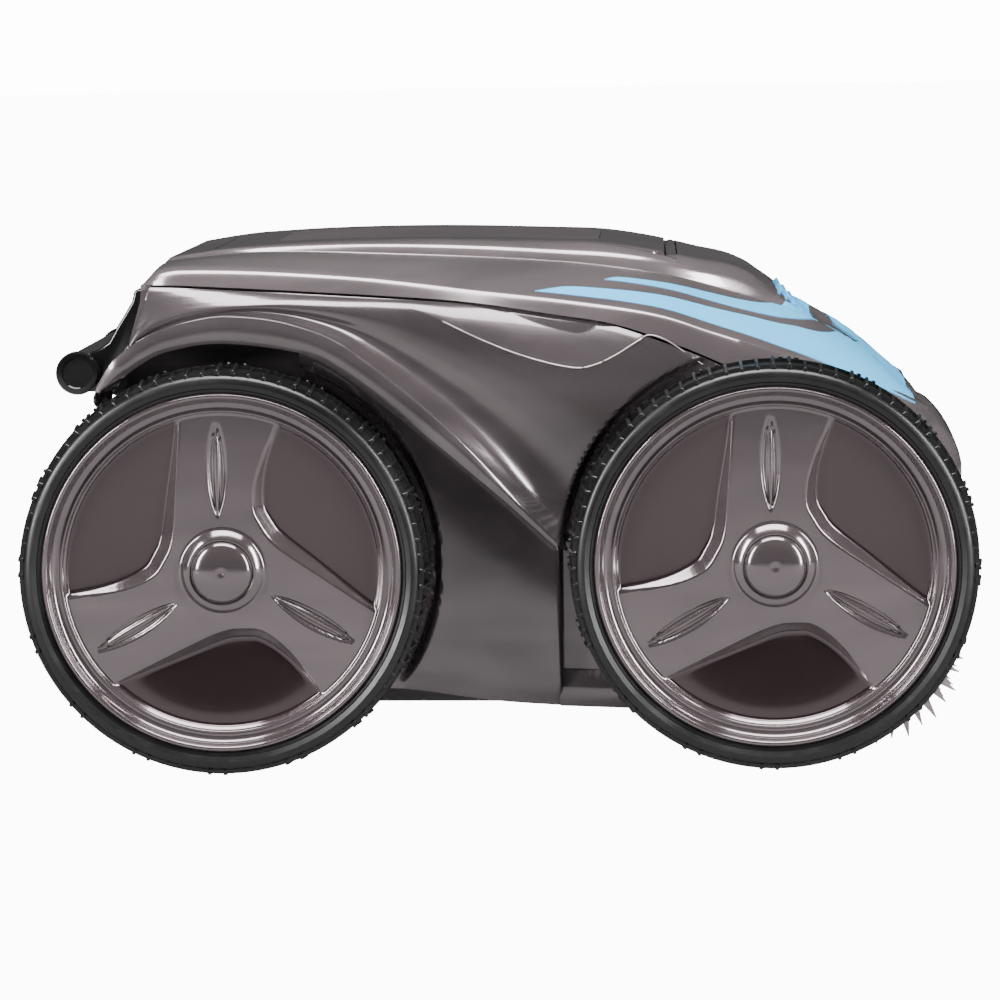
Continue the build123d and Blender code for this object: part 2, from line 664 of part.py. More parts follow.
with BuildPart() as motor_cover:
    slab(-MOTOR_DEPTH, 12, MOTOR_HALF, 10, MOTOR_HIGH, MOTOR_HIGH + 5)
    with Locations((-16, 0, MOTOR_HIGH + 5)):
        with GridLocations(40, 190, 2, 2):
            Cylinder(4, 3, align=(Align.CENTER, Align.CENTER, Align.MIN))
save(motor_cover, "motor_cover")

# ---------------------------------------------------------------- filter and inlet
FILTER_REAR, FILTER_FRONT, FILTER_HALF = -150.0, -56.0, 78.0
FILTER_LOW, FILTER_HIGH = 42.0, 230.0
FLAP_EAR = INLET_HALF + 6

with BuildPart() as filter_frame:
    slab(FILTER_REAR, FILTER_FRONT, FILTER_HALF, 8, FILTER_LOW, FILTER_HIGH)
    slab(FILTER_REAR + 3, FILTER_FRONT - 3, FILTER_HALF - 3, 5, FILTER_LOW + 3, 240, mode=Mode.SUBTRACT)
    slab(INLET_REAR, INLET_FRONT, INLET_HALF, 8, 30, 60, mode=Mode.SUBTRACT)
    for low, high in ((62, 135), (141, 218)):
        for centre in (-44, 0, 44):
            block((-160, -40), (centre - 19, centre + 19), (low, high), mode=Mode.SUBTRACT)
        block((FILTER_REAR + 12, FILTER_FRONT - 12), (-90, 90), (low, high), mode=Mode.SUBTRACT)
    for side in (1, -1):
        with Locations((FLAP_X, side * (FLAP_EAR + 2), FLAP_Z - 1)):
            Box(6, 4, 7.6)
    bars([(FLAP_X, FLAP_Z)], 1.5 + RUN, -70, 140, mode=Mode.SUBTRACT)
save(filter_frame, "filter_frame")

with BuildPart() as filter_mesh:
    slab(FILTER_REAR + 3, FILTER_FRONT - 3, FILTER_HALF - 3, 5, FILTER_LOW + 14, FILTER_HIGH - 4)
    slab(FILTER_REAR + 4, FILTER_FRONT - 4, FILTER_HALF - 4, 4, 40, 240, mode=Mode.SUBTRACT)
save(filter_mesh, "filter_mesh")

with BuildPart() as filter_lid:
    slab(FILTER_REAR, FILTER_FRONT, FILTER_HALF, 8, FILTER_HIGH, FILTER_HIGH + 4)
    slab(FILTER_REAR + 4.2, FILTER_FRONT - 4.2, FILTER_HALF - 4.2, 4, FILTER_HIGH - 8, FILTER_HIGH)
    rear, front, half = FILTER_REAR + 7, FILTER_FRONT - 7, FILTER_HALF - 7
    slab(rear, front, half, 4, FILTER_HIGH - 9, FILTER_HIGH, mode=Mode.SUBTRACT)
    block((-110, -96), (-40, 40), (FILTER_HIGH + 3, FILTER_HIGH + 20))
    block((-111, -95), (-34, 34), (FILTER_HIGH + 4, FILTER_HIGH + 15), mode=Mode.SUBTRACT)
save(filter_lid, "filter_lid")

with BuildPart() as inlet_flap:
    slab(INLET_REAR - 4, FLAP_X, INLET_HALF + 3, 4, FILTER_LOW + 3.2, FILTER_LOW + 5.2)
    bars([(FLAP_X, FLAP_Z)], 2.5, -INLET_HALF - 3, 2 * INLET_HALF + 6)
    bars([(FLAP_X, FLAP_Z)], 1.5, -FLAP_EAR - 3.5, 2 * FLAP_EAR + 7)
save(inlet_flap, "inlet_flap")

with BuildPart() as filter_seal:
    slab(FILTER_REAR - 4, FILTER_FRONT + 4, FILTER_HALF + 4, 10, FILTER_HIGH - 3, FILTER_HIGH)
    slab(FILTER_REAR, FILTER_FRONT, FILTER_HALF, 8, FILTER_HIGH - 4, FILTER_HIGH + 1, mode=Mode.SUBTRACT)
save(filter_seal, "filter_seal")

with BuildPart() as float_blocks:
    for side in (1, -1):
        block((-150, 60), (side * 112 - 18, side * 112 + 18), (160, 212))
    fillet(float_blocks.part.edges().filter_by(Axis.Z), radius=8)
save(float_blocks, "float_blocks")

# ---------------------------------------------------------------- chassis
with BuildPart() as chassis:
    outline = [*BODY_REAR, (-176, 30), (140, 27), (196, 27), *BODY_FRONT[:2], (214, 166), (60, 212)]
    with BuildSketch(across(CHASSIS_OUT)) as tub:
        Polygon(*outline, align=None)
        with Locations((BRUSH_X, BRUSH_Z)):
            Circle(BRUSH_ARC, mode=Mode.SUBTRACT)
    extrude(tub.sketch, amount=2 * CHASSIS_OUT)
    inner = [(-179.2, 250), (-179.4, 235), (-185.6, 213.5), (-187, 200), (-187, 62), (-174.5, 33)]
    inner += [(144, 30), (211, 30), (211, 163), (211, 260)]
    with BuildSketch(across(CHASSIS_IN)) as hollow:
        Polygon(*inner, align=None)
        with Locations((BRUSH_X, BRUSH_Z)):
            Circle(BRUSH_ARC + WALL, mode=Mode.SUBTRACT)
    extrude(hollow.sketch, amount=2 * CHASSIS_IN, mode=Mode.SUBTRACT)
    # cheeks and middle web that carry the brushes
    cheek = [(138, 60), (165, 34), (188, 30), (206, 40), (210, 60), (212, 104), (140, 104)]
    for start, length in ((CHASSIS_OUT, 3), (4, 8), (-CHASSIS_IN, 3)):
        with BuildSketch(across(start)) as plate:
            Polygon(*cheek, align=None)
        extrude(plate.sketch, amount=length)
    # inlet throat, motor ribs and screw bosses
    slab(INLET_REAR - 3, INLET_FRONT + 3, INLET_HALF + 3, 10, 29, FILTER_LOW)
    slab(INLET_REAR, INLET_FRONT, INLET_HALF, 8, 20, FILTER_LOW + 1, mode=Mode.SUBTRACT)
    for side in (1, -1):
        block((-40, 40), (side * 72 - 3, side * 72 + 3), (29, MOTOR_LOW))
        block((-100, -97), (side * 112 - 18, side * 112 + 18), (29, 160))
        block((20, 23), (side * 130 - 16, side * 130 + 16), (29, 160))
    with Locations((-22.5, 0, 29)):
        with GridLocations(285, 240, 2, 2):
            Cylinder(6, 15, align=(Align.CENTER, Align.CENTER, Align.MIN))
    with Locations((-22.5, 0, 20)):
        with GridLocations(285, 240, 2, 2):
            Cylinder(2, 22, align=(Align.CENTER, Align.CENTER, Align.MIN), mode=Mode.SUBTRACT)
    bars([(0, AXLE_Z)], 6.5, -CHASSIS_OUT - 5, 2 * CHASSIS_OUT + 10, mode=Mode.SUBTRACT)
    bars(corner_points, AXLE_RADIUS, -CHASSIS_OUT - 5, 2 * CHASSIS_OUT + 10, mode=Mode.SUBTRACT)
    bars(idler_points, 5.0, -CHASSIS_OUT - 5, 2 * CHASSIS_OUT + 10, mode=Mode.SUBTRACT)
    bars(brush_point, 8.0, -CHASSIS_OUT - 5, 12, mode=Mode.SUBTRACT)
    bars(brush_point, 8.0, CHASSIS_OUT - 7, 12, mode=Mode.SUBTRACT)
    bars(brush_point, JOURNAL, -20, 40, mode=Mode.SUBTRACT)
    with Locations(Location((-190, 0, GLAND_Z), (0, 90, 0))):
        Cylinder(GLAND_RADIUS, 20, mode=Mode.SUBTRACT)
save(chassis, "chassis")

with BuildPart() as shell_screws:
    with Locations((-22.5, 0, 0)):
        with GridLocations(285, 240, 2, 2):
            with Locations((0, 0, 24.5)):
                Cylinder(4.2, 2.5, align=(Align.CENTER, Align.CENTER, Align.MIN))
            with Locations((0, 0, 27)):
                Cylinder(2, 13, align=(Align.CENTER, Align.CENTER, Align.MIN))
save(shell_screws, "shell_screws")

with BuildPart() as cable_gland:
    with Locations(Location((-187, 0, GLAND_Z), (0, -90, 0))):
        Cylinder(GLAND_RADIUS, 20, align=(Align.CENTER, Align.CENTER, Align.MIN))
    with BuildSketch(Plane.YZ.offset(-190)) as nut:
        with Locations((0, GLAND_Z)):
            RegularPolygon(15, 6)
    extrude(nut.sketch, amount=-10)
    with Locations(Location((-180, 0, GLAND_Z), (0, -90, 0))):
        Cylinder(GLAND_BORE, 40, align=(Align.CENTER, Align.CENTER, Align.MIN), mode=Mode.SUBTRACT)
save(cable_gland, "cable_gland")

# ---------------------------------------------------------------- rear handle
ARM = [(-183.3, 238.4), (-190.8, 238.4), (-193.3, 222.2), (-199.9, 212.1), (-210.1, 206), (-215, 206.5)]
ARM += [(-225, 196.5), (-215, 186.5), (-204, 186), (-190.2, 180), (-190.2, 200), (-188.8, 213.7)]
HANDLE_HALF, ARM_IN, ARM_OUT = 92.0, 66.0, 84.0

with BuildPart() as rear_handle:
    bars([(HANDLE_X, HANDLE_Z)], HANDLE_RADIUS, -HANDLE_HALF, 2 * HANDLE_HALF)
    for start in (-ARM_OUT, ARM_IN):
        with BuildSketch(across(-start)) as arm:
            Polygon(*ARM, align=None)
        extrude(arm.sketch, amount=ARM_OUT - ARM_IN)
save(rear_handle, "rear_handle")

with BuildPart() as handle_end_caps:
    for start in (HANDLE_HALF, -HANDLE_HALF - 7):
        bars([(HANDLE_X, HANDLE_Z)], HANDLE_CAP_RADIUS, start, 7)
save(handle_end_caps, "handle_end_caps")

# ---------------------------------------------------------------- front bumper
BUMPER = [(214, 167.5), (217.5, 166.8), (222.8, 161.7), (229, 149), (229.6, 142)]
BUMPER += [(228.5, 112), (222, 99), (214, 97)]
BUMPER_BACK = [(213, 163), (217, 163), (220, 159.5), (226, 148), (226.6, 142), (225.6, 113)]
BUMPER_BACK += [(220, 102), (213, 100.5)]

with BuildPart() as front_bumper:
    with BuildSketch(across(150)) as nose:
        Polygon(*BUMPER, align=None)
    extrude(nose.sketch, amount=300)
    with BuildSketch(across(147)) as nose_hollow:
        Polygon(*BUMPER_BACK, align=None)
    extrude(nose_hollow.sketch, amount=294, mode=Mode.SUBTRACT)
    with BuildSketch(Plane.XY) as bumper_plan:
        with Locations((130, 0)):
            RectangleRounded(200, 300, 30)
    extrude(bumper_plan.sketch, amount=300, mode=Mode.INTERSECT)
save(front_bumper, "front_bumper")

# ---------------------------------------------------------------- side panels and gear covers
TYRE_CLEAR = WHEEL_RADIUS + 3.5
GEAR_HOLE = 67.0


def clear_wheels():
    """Room for the tyres outside the panels, and holes for the wheel gears' skirts."""
    bars(corner_points, TYRE_CLEAR, COVER_OUT + 1, 60, mode=Mode.SUBTRACT)
    bars(corner_points, GEAR_HOLE, COVER_IN - 2, 60, mode=Mode.SUBTRACT)


def make_side_panel():
    """Upper side panel: wall, bulge with its scoop, and the fender band over the rear wheel."""
    seam = [point for point in SEAM if point[0] > -170]
    top = [(-178.5, 242.5), *shifted(seam, z=-2)[:-1], (212, 167)]
    low = [(212, 104), (70.5, 104), *reversed(BAND_EDGE[1:])]
    wall = [*top, *low, (-190, 200), (-188.6, 213.7), (-182.4, 235.1)]
    bulge_low = [(40, 140), (31, 117), (-24.6, 173), (-74.2, 213), (-104, 226)]
    bulge_low += [(-134, 230), (-154, 227.5), (-174.2, 220.6)]
    bulge_top = [(-178, 240), (-157, 239.5), (-75, 234.5), (-16.5, 230), (26.7, 223.5), (59.5, 217.5), (88, 208)]
    bulge = [*bulge_top, (60, 187), (46, 165), *bulge_low, (-182, 215)]
    pocket = [(-85, 231), (-55, 229), (-25, 214), (12, 200), (38, 194), (52, 192), (46, 172), (36, 150)]
    pocket += [(29, 124), (-22, 175.5), (-72, 217)]
    with BuildPart() as panel:
        with BuildSketch(across(-COVER_IN)) as wall_face:
            Polygon(*wall, align=None)
        extrude(wall_face.sketch, amount=COVER_OUT - COVER_IN)
        with BuildSketch(across(-COVER_IN)) as bulge_face:
            Polygon(*bulge, align=None)
        extrude(bulge_face.sketch, amount=PANEL_FACE - COVER_IN)
        with BuildSketch(across(-PANEL_FACE + 4)) as scoop:
            with BuildLine():
                Spline(*SCOOP)
                Polyline(SCOOP[-1], (95, 240), SCOOP[0])
            make_face()
        extrude(scoop.sketch, amount=20, mode=Mode.SUBTRACT)
        with BuildSketch(across(-COVER_OUT + 1)) as band:
            Polygon(*shifted(CREST[1:], z=3), *reversed(BAND_EDGE), (-200, 184.6), align=None)
        with BuildSketch(across(-FENDER_FACE)) as lip:
            Polygon(*CREST[1:], *reversed(BAND_EDGE), (-203, 184.6), align=None)
        loft([band.sketch, lip.sketch], ruled=True)
        with BuildSketch(across(-COVER_IN + 1)) as hollow:
            Polygon(*pocket, align=None)
        extrude(hollow.sketch, amount=PANEL_FACE - WALL - COVER_IN + 1, mode=Mode.SUBTRACT)
        clear_wheels()
    return panel


def make_gear_cover():
    """Lower side cover with a bulge between the wheels."""
    wall = [(-190, 193.5), (-190, 60), *BODY_BOTTOM, *BODY_FRONT[:1], (212, 103.7), (70.5, 103.7)]
    wall += list(reversed(shifted(BAND_EDGE[2:], z=-0.3)))
    bulge = [(28.5, 105), (28.5, 55), (34, 49), (36, 47.6), (66, 45), (72, 30), (-1.7, 34.8), (-54.6, 42.2)]
    bulge += [(-60, 44), (-40, 104), (-60, 160), (-84.3, 204), (-49.6, 179), (0, 137), (28.5, 110.5)]
    pocket = [(25.5, 105), (25.5, 54), (34, 42), (-1.7, 40), (-50, 47), (-36, 104)]
    pocket += [(-48, 150), (-62, 184), (-49, 173.5), (0, 131)]
    with BuildPart() as cover:
        with BuildSketch(across(-COVER_IN)) as wall_face:
            Polygon(*wall, align=None)
        extrude(wall_face.sketch, amount=COVER_OUT - COVER_IN)
        with BuildSketch(across(-COVER_IN)) as bulge_face:
            Polygon(*bulge, align=None)
        extrude(bulge_face.sketch, amount=PANEL_FACE - 1 - COVER_IN)
        with BuildSketch(across(-COVER_IN + 1)) as hollow:
            Polygon(*pocket, align=None)
        extrude(hollow.sketch, amount=PANEL_FACE - 1 - WALL - COVER_IN + 1, mode=Mode.SUBTRACT)
        clear_wheels()
    return cover


sided(make_side_panel, "side_panel")
sided(make_gear_cover, "gear_cover")
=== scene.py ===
"""Looks of a four-wheeled robotic pool cleaner: moulded shell, wheels, tyres, brushes and trim.

Lengths are written in millimetres and turned into metres by MM when they reach a mesh. X points to the
front, Y to the left and Z up. Side pieces are shaped for the right-hand side and mirrored for the left.
"""

import json
from math import cos, pi, radians, sin, sqrt

import bpy
from mathutils import Matrix, Vector


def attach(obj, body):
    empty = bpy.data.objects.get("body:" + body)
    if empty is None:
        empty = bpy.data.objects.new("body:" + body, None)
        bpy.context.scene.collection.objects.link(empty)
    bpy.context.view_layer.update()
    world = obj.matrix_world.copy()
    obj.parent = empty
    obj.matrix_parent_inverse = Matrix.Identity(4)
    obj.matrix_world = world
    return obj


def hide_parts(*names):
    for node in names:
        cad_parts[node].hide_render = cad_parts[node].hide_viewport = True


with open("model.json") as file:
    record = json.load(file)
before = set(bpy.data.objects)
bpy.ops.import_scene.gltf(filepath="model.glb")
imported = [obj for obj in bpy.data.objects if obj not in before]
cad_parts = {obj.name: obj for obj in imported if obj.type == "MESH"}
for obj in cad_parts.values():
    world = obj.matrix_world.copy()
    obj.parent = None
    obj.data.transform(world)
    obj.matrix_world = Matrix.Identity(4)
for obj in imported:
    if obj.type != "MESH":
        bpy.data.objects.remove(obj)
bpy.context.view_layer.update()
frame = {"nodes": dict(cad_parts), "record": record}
MM = 0.001

# ---------------------------------------------------------------- driving dimensions
AXLE_X, AXLE_Z = 137.5, 103.5
WHEELS = (
    ("front_left", 1, 1),
    ("front_right", 1, -1),
    ("rear_left", -1, 1),
    ("rear_right", -1, -1),
)
SIDES = (("left", 1), ("right", -1))
GRILLE, GRILLE_TILT = (154.0, 0.0, 221.6), radians(47)
FACE = 206.0  # outer face of the spokes
HOOD_HALF = 165.0
DOME_HALF = 99.0
BRUSH_X, BRUSH_Z, BRUSH_RADIUS = 188.84, 48.83, 46.3
HANDLE_X, HANDLE_Z, HANDLE_RADIUS = -222.0, 195.4, 10.0

# curves of the shell as X, Z points
MIDDLE = [(-183, 253), (-176, 254.8), (-151.5, 258.2), (-126.8, 260.6), (-83.9, 262.3), (-31.6, 262.4)]
MIDDLE += [(25.9, 260.6), (52.5, 259.2), (79, 255), (100.4, 250), (122.6, 244.6), (144.4, 231.8)]
MIDDLE += [(162.5, 212.2), (187.6, 198.2), (209.8, 178.4), (213, 174.5)]
DOME_EDGE = [(-183, 252), (-167, 255.8), (-136, 259.6), (-78, 261), (-21, 259.3), (29, 255.9)]
DOME_EDGE += [(68, 252.2), (94, 246.8), (118, 240.4), (140, 231), (158, 219), (186, 199), (213, 171.5)]
SHOULDER = [(-183, 251), (-165, 255.2), (-121, 258.2), (-48, 256.2), (29, 251.5), (68, 246.8)]
SHOULDER += [(94, 241.4), (132, 229.3), (157, 219.5), (186, 200), (213, 172)]
CREASE = [(-183, 247), (-160, 251.4), (-75, 247.2), (-6, 238.8), (37.7, 233.5), (81, 226.4)]
CREASE += [(110, 217), (136, 208.5), (172, 195.5), (213, 173)]
SEAM = [(-183, 244.9), (-157, 244), (-75, 238.9), (-16.5, 234.2), (26.7, 227.5), (59.5, 221.7)]
SEAM += [(94.2, 209.5), (130, 194), (170, 180), (213, 169.5)]
CREST = [(-204.8, 184.6), (-199.6, 197.2), (-190.4, 209.6), (-174.2, 220.6), (-154, 227.4)]
CREST += [(-134, 229.8), (-104, 225.6), (-74.2, 212.8), (-24.6, 172.3), (29.8, 115.2), (52, 96)]
BAND_EDGE = [(-198, 176), (-194.6, 190.5), (-174.3, 208), (-154.2, 214.4), (-134.2, 215.8), (-99.2, 211)]
BAND_EDGE += [(-84.3, 205.4), (-49.6, 180), (0, 138), (28.8, 111.1), (52, 91)]
SCOOP = [(-45.5, 233.2), (-27.1, 225), (-5.6, 214.5), (16.3, 206.1), (37.8, 200.9), (48.8, 202.1)]
SCOOP += [(59.6, 206.9), (70.4, 213.4), (76.5, 216.4), (85.7, 213.3), (94.4, 207.2), (103, 201)]


# ---------------------------------------------------------------- helpers
def on_curve(points, x):
    """Height of a smooth curve through X, Z points."""
    last = len(points) - 2
    i = 0
    while i < last and x > points[i + 1][0]:
        i += 1
    (x0, z0), (x1, z1) = points[i], points[i + 1]

    def slope(j):
        a, b = points[max(j - 1, 0)], points[min(j + 1, last + 1)]
        return (b[1] - a[1]) / (b[0] - a[0])

    span = x1 - x0
    t = min(max((x - x0) / span, 0.0), 1.0)
    rise = z1 - z0
    m0, m1 = slope(i) * span, slope(i + 1) * span
    return z0 + t * m0 + t * t * (3 * rise - 2 * m0 - m1) + t * t * t * (m0 + m1 - 2 * rise)


def ease(low, high, value):
    """Smooth step from 0 at low to 1 at high."""
    t = min(max((value - low) / (high - low), 0.0), 1.0)
    return t * t * (3 - 2 * t)


def deselect():
    """Leaves nothing selected."""
    for piece in bpy.context.selected_objects:
        piece.select_set(False)


def pick(*pieces):
    """Selects these objects and makes the first one active."""
    deselect()
    for piece in pieces:
        piece.select_set(True)
    bpy.context.view_layer.objects.active = pieces[0]


def edit(piece, *steps):
    """Runs edit-mode steps on the whole of a mesh."""
    pick(piece)
    bpy.ops.object.mode_set(mode="EDIT")
    bpy.ops.mesh.select_all(action="SELECT")
    for step in steps:
        step()
    bpy.ops.object.mode_set(mode="OBJECT")


def tidy_normals():
    """Merges doubled points and turns all faces outwards."""
    bpy.ops.mesh.remove_doubles(threshold=0.00001)
    bpy.ops.mesh.normals_make_consistent(inside=False)


def apply(piece, kind, **settings):
    """Adds a modifier with these settings and applies it."""
    pick(piece)
    bpy.ops.object.modifier_add(type=kind)
    modifier = piece.modifiers[-1]
    for key, value in settings.items():
        setattr(modifier, key, value)
    bpy.ops.object.modifier_apply(modifier=modifier.name)


def smooth(piece, degrees=35):
    """Smooth shading with crisp edges past the angle."""
    pick(piece)
    bpy.ops.object.shade_smooth_by_angle(angle=radians(degrees))


def outline(name, points, y, depth):
    """Solid from an X, Z outline, from y outwards by depth."""
    deselect()
    bpy.ops.mesh.primitive_circle_add(vertices=len(points), fill_type="NGON")
    piece = bpy.context.object
    piece.name = name
    for vertex, (x, z) in zip(piece.data.vertices, points):
        vertex.co = Vector((x, y, z)) * MM
    edit(
        piece,
        lambda: bpy.ops.mesh.extrude_region_move(TRANSFORM_OT_translate={"value": (0, depth * MM, 0)}),
        lambda: bpy.ops.mesh.select_all(action="SELECT"),
        tidy_normals,
    )
    return piece


def lathe(name, section, steps=160, centre=(0.0, 0.0)):
    """Ring spun about a line along Y, from a closed section of (radius, y) points."""
    deselect()
    bpy.ops.mesh.primitive_circle_add(vertices=len(section))
    piece = bpy.context.object
    piece.name = name
    for vertex, (radius, y) in zip(piece.data.vertices, section):
        vertex.co = Vector((centre[0] + radius, y, centre[1])) * MM
    middle = (centre[0] * MM, 0, centre[1] * MM)
    edit(
        piece,
        lambda: bpy.ops.mesh.spin(steps=steps, angle=2 * pi, center=middle, axis=(0, 1, 0)),
        lambda: bpy.ops.mesh.select_all(action="SELECT"),
        tidy_normals,
    )
    return piece


def sheet_of(name, columns, rows, place, outwards, wall=2.5):
    """Moulded wall from a grid whose points place(u, v) puts in X, Y, Z, with thickness inwards."""
    deselect()
    bpy.ops.mesh.primitive_grid_add(x_subdivisions=columns, y_subdivisions=rows, size=1)
    piece = bpy.context.object
    piece.name = name
    for vertex in piece.data.vertices:
        vertex.co = Vector(place(vertex.co.x + 0.5, vertex.co.y + 0.5)) * MM
    piece.data.update()
    facing = sum((face.normal * face.area for face in piece.data.polygons), Vector())
    if facing.dot(Vector(outwards)) < 0:
        edit(piece, lambda: bpy.ops.mesh.flip_normals())
    if wall:
        apply(piece, "SOLIDIFY", thickness=wall * MM, offset=-1)
    return piece


def copied(piece, name, matrix):
    """Copy with its own mesh, moved by a matrix, turned right side out if it is mirrored."""
    twin = piece.copy()
    twin.data = piece.data.copy()
    twin.name = name
    bpy.context.scene.collection.objects.link(twin)
    twin.data.transform(matrix)
    if matrix.determinant() < 0:
        twin.data.flip_normals()
    return twin


def joined(name, pieces):
    """Several meshes made one."""
    pick(*pieces)
    bpy.ops.object.join()
    pieces[0].name = name
    return pieces[0]


MIRROR = Matrix.Scale(-1, 4, Vector((0, 1, 0)))


def finish_piece(piece, material, body, nodes=()):
    """Gives a new piece its material, its body and the CAD nodes that it stands for."""
    if not piece.data.materials:
        piece.data.materials.append(material)
    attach(piece, body)
    if nodes:
        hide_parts(*nodes)


# ---------------------------------------------------------------- materials
def shader_group(name, inputs, outputs):
    """Empty shader node group with float or colour sockets."""
    group = bpy.data.node_groups.new(name, "ShaderNodeTree")
    for label, kind, value in inputs:
        socket = group.interface.new_socket(label, in_out="INPUT", socket_type=kind)
        socket.default_value = value
    for label, kind in outputs:
        group.interface.new_socket(label, in_out="OUTPUT", socket_type=kind)
    ends = group.nodes.new("NodeGroupInput"), group.nodes.new("NodeGroupOutput")
    return group, ends[0], ends[1]


def node(tree, kind, links=(), **values):
    """Node with settings and incoming links, given as (socket, source socket)."""
    made = tree.nodes.new(kind)
    for key, value in values.items():
        if hasattr(made, key):
            setattr(made, key, value)
        else:
            made.inputs[key.replace("_", " ")].default_value = value
    for label, source in links:
        tree.links.new(source, made.inputs[label])
    return made


def build_moulding():
    """Fine metallic fleck, soft flow streaks and faint scuffs of injection-moulded plastic."""
    group, source, sink = shader_group(
        "moulding_wear",
        [
            ("Dark", "NodeSocketColor", (0.1, 0.1, 0.1, 1)),
            ("Light", "NodeSocketColor", (0.2, 0.2, 0.2, 1)),
            ("Roughness", "NodeSocketFloat", 0.3),
            ("Scuff", "NodeSocketFloat", 0.3),
        ],
        [("Colour", "NodeSocketColor"), ("Roughness", "NodeSocketFloat"), ("Height", "NodeSocketFloat")],
    )
    place = node(group, "ShaderNodeTexCoord").outputs["Object"]
    stretch = node(group, "ShaderNodeMapping", [("Vector", place)], Scale=(7, 9, 26), Rotation=(0, 0.5, 0))
    flow = node(
        group, "ShaderNodeTexNoise", [("Vector", stretch.outputs[0])], Scale=1.3, Detail=5.0, Distortion=0.9
    )
    fleck = node(group, "ShaderNodeTexNoise", [("Vector", place)], Scale=1500.0, Detail=1.0)
    scuffs = node(group, "ShaderNodeTexNoise", [("Vector", place)], Scale=48.0, Detail=6.0, Roughness=0.62)
    soft = node(group, "ShaderNodeMapRange", [("Value", flow.outputs["Fac"])])
    soft.inputs["From Min"].default_value = 0.35
    soft.inputs["From Max"].default_value = 0.75
    grains = node(group, "ShaderNodeMath", [(0, fleck.outputs["Fac"])], operation="MULTIPLY")
    grains.inputs[1].default_value = 0.04
    mixed = node(group, "ShaderNodeMath", [(0, soft.outputs[0]), (1, grains.outputs[0])], operation="ADD")
    shade = node(
        group,
        "ShaderNodeMix",
        [(0, mixed.outputs[0]), (6, source.outputs["Dark"]), (7, source.outputs["Light"])],
        data_type="RGBA",
    )
    worn = node(
        group, "ShaderNodeMapRange", [("Value", scuffs.outputs["Fac"]), ("To Max", source.outputs["Scuff"])]
    )
    worn.inputs["From Min"].default_value = 0.45
    worn.inputs["From Max"].default_value = 0.8
    rough = node(
        group, "ShaderNodeMath", [(0, source.outputs["Roughness"]), (1, worn.outputs[0])], operation="ADD"
    )
    group.links.new(shade.outputs[2], sink.inputs["Colour"])
    group.links.new(rough.outputs[0], sink.inputs["Roughness"])
    group.links.new(scuffs.outputs["Fac"], sink.inputs["Height"])
    return group


moulding = build_moulding()


def moulded(name, dark, light, roughness, scuff=0.05, bump=0.008, **shader):
    """Material of moulded plastic, rubber or metal, with the shared moulding and wear pattern."""
    material = bpy.data.materials.new(name)
    material.use_nodes = True
    tree = material.node_tree
    main = tree.nodes["Principled BSDF"]
    wear = node(tree, "ShaderNodeGroup", node_tree=moulding)
    wear.inputs["Dark"].default_value = (*dark, 1)
    wear.inputs["Light"].default_value = (*light, 1)
    wear.inputs["Roughness"].default_value = roughness
    wear.inputs["Scuff"].default_value = scuff
    relief = node(tree, "ShaderNodeBump", [("Height", wear.outputs["Height"])], Strength=bump, Distance=0.001)
    tree.links.new(wear.outputs["Colour"], main.inputs["Base Color"])
    tree.links.new(wear.outputs["Roughness"], main.inputs["Roughness"])
    tree.links.new(relief.outputs[0], main.inputs["Normal"])
    for key, value in shader.items():
        main.inputs[key.replace("_", " ")].default_value = value
    return material


def grey(value, warm=2.0):
    """Neutral grey with a faint warm cast."""
    return (value * (1 + 0.06 * warm), value * (1 - 0.03 * warm), value * (1 - 0.01 * warm))


GLOSS = {"Coat_Weight": 1.0, "Coat_Roughness": 0.05}
shell_paint = moulded("shell_grey", grey(0.17), grey(0.27), 0.2, Metallic=0.65, **GLOSS)
panel_paint = moulded("panel_grey", grey(0.09), grey(0.15), 0.22, Metallic=0.65, **GLOSS)
wheel_paint = moulded("wheel_grey", grey(0.135, 2.4), grey(0.175, 2.4), 0.15, Metallic=0.75, **GLOSS)

# painted shade: the wheel's colour is darkened on the floors of its pockets, standing in for the shade in
# these recesses
wheel_tree = wheel_paint.node_tree
pocket_shade = node(wheel_tree, "ShaderNodeAttribute", attribute_name="pocket_shade")
coat = next(link.from_socket for link in wheel_tree.links if link.to_socket.name == "Base Color")
painted_shade_mix = node(wheel_tree, "ShaderNodeMix", [(0, pocket_shade.outputs["Fac"]), (6, coat)], data_type="RGBA")
# dark grey painted onto the pocket floors as shade
painted_shade_mix.inputs[7].default_value = (*grey(0.05, 5), 1)
wheel_tree.links.new(painted_shade_mix.outputs[2], wheel_tree.nodes["Principled BSDF"].inputs["Base Color"])

tyre_rubber = moulded("tyre_rubber", (0.004,) * 3, (0.011,) * 3, 0.3, scuff=0.2, bump=0.06)
blue_trim = moulded("accent_blue", (0.07, 0.5, 0.92), (0.1, 0.56, 0.97), 0.4, Coat_Weight=0.3)
handle_black = moulded("handle_black", (0.004,) * 3, (0.01,) * 3, 0.16, Coat_Weight=0.5, Coat_Roughness=0.06)
chassis_grey = moulded("chassis_grey", grey(0.05), grey(0.09), 0.45, bump=0.05)
motor_black = moulded("motor_black", (0.012,) * 3, (0.03,) * 3, 0.5, bump=0.05)
gear_white = moulded("gear_white", (0.55, 0.54, 0.5), (0.7, 0.69, 0.65), 0.35)
steel = moulded("stainless", (0.4,) * 3, (0.6,) * 3, 0.22, Metallic=1.0)
bearing_bronze = moulded("bearing_bronze", (0.45, 0.29, 0.13), (0.62, 0.42, 0.2), 0.3, Metallic=1.0)
blade_rubber = moulded("blade_grey", grey(0.24), grey(0.34), 0.36, scuff=0.2, bump=0.05)
core_grey = moulded("core_grey", grey(0.06), grey(0.1), 0.4)
seal_rubber = moulded("seal_rubber", (0.01,) * 3, (0.02,) * 3, 0.6)
filter_cloth = moulded("filter_mesh", (0.5,) * 3, (0.75,) * 3, 0.7, bump=0.3)
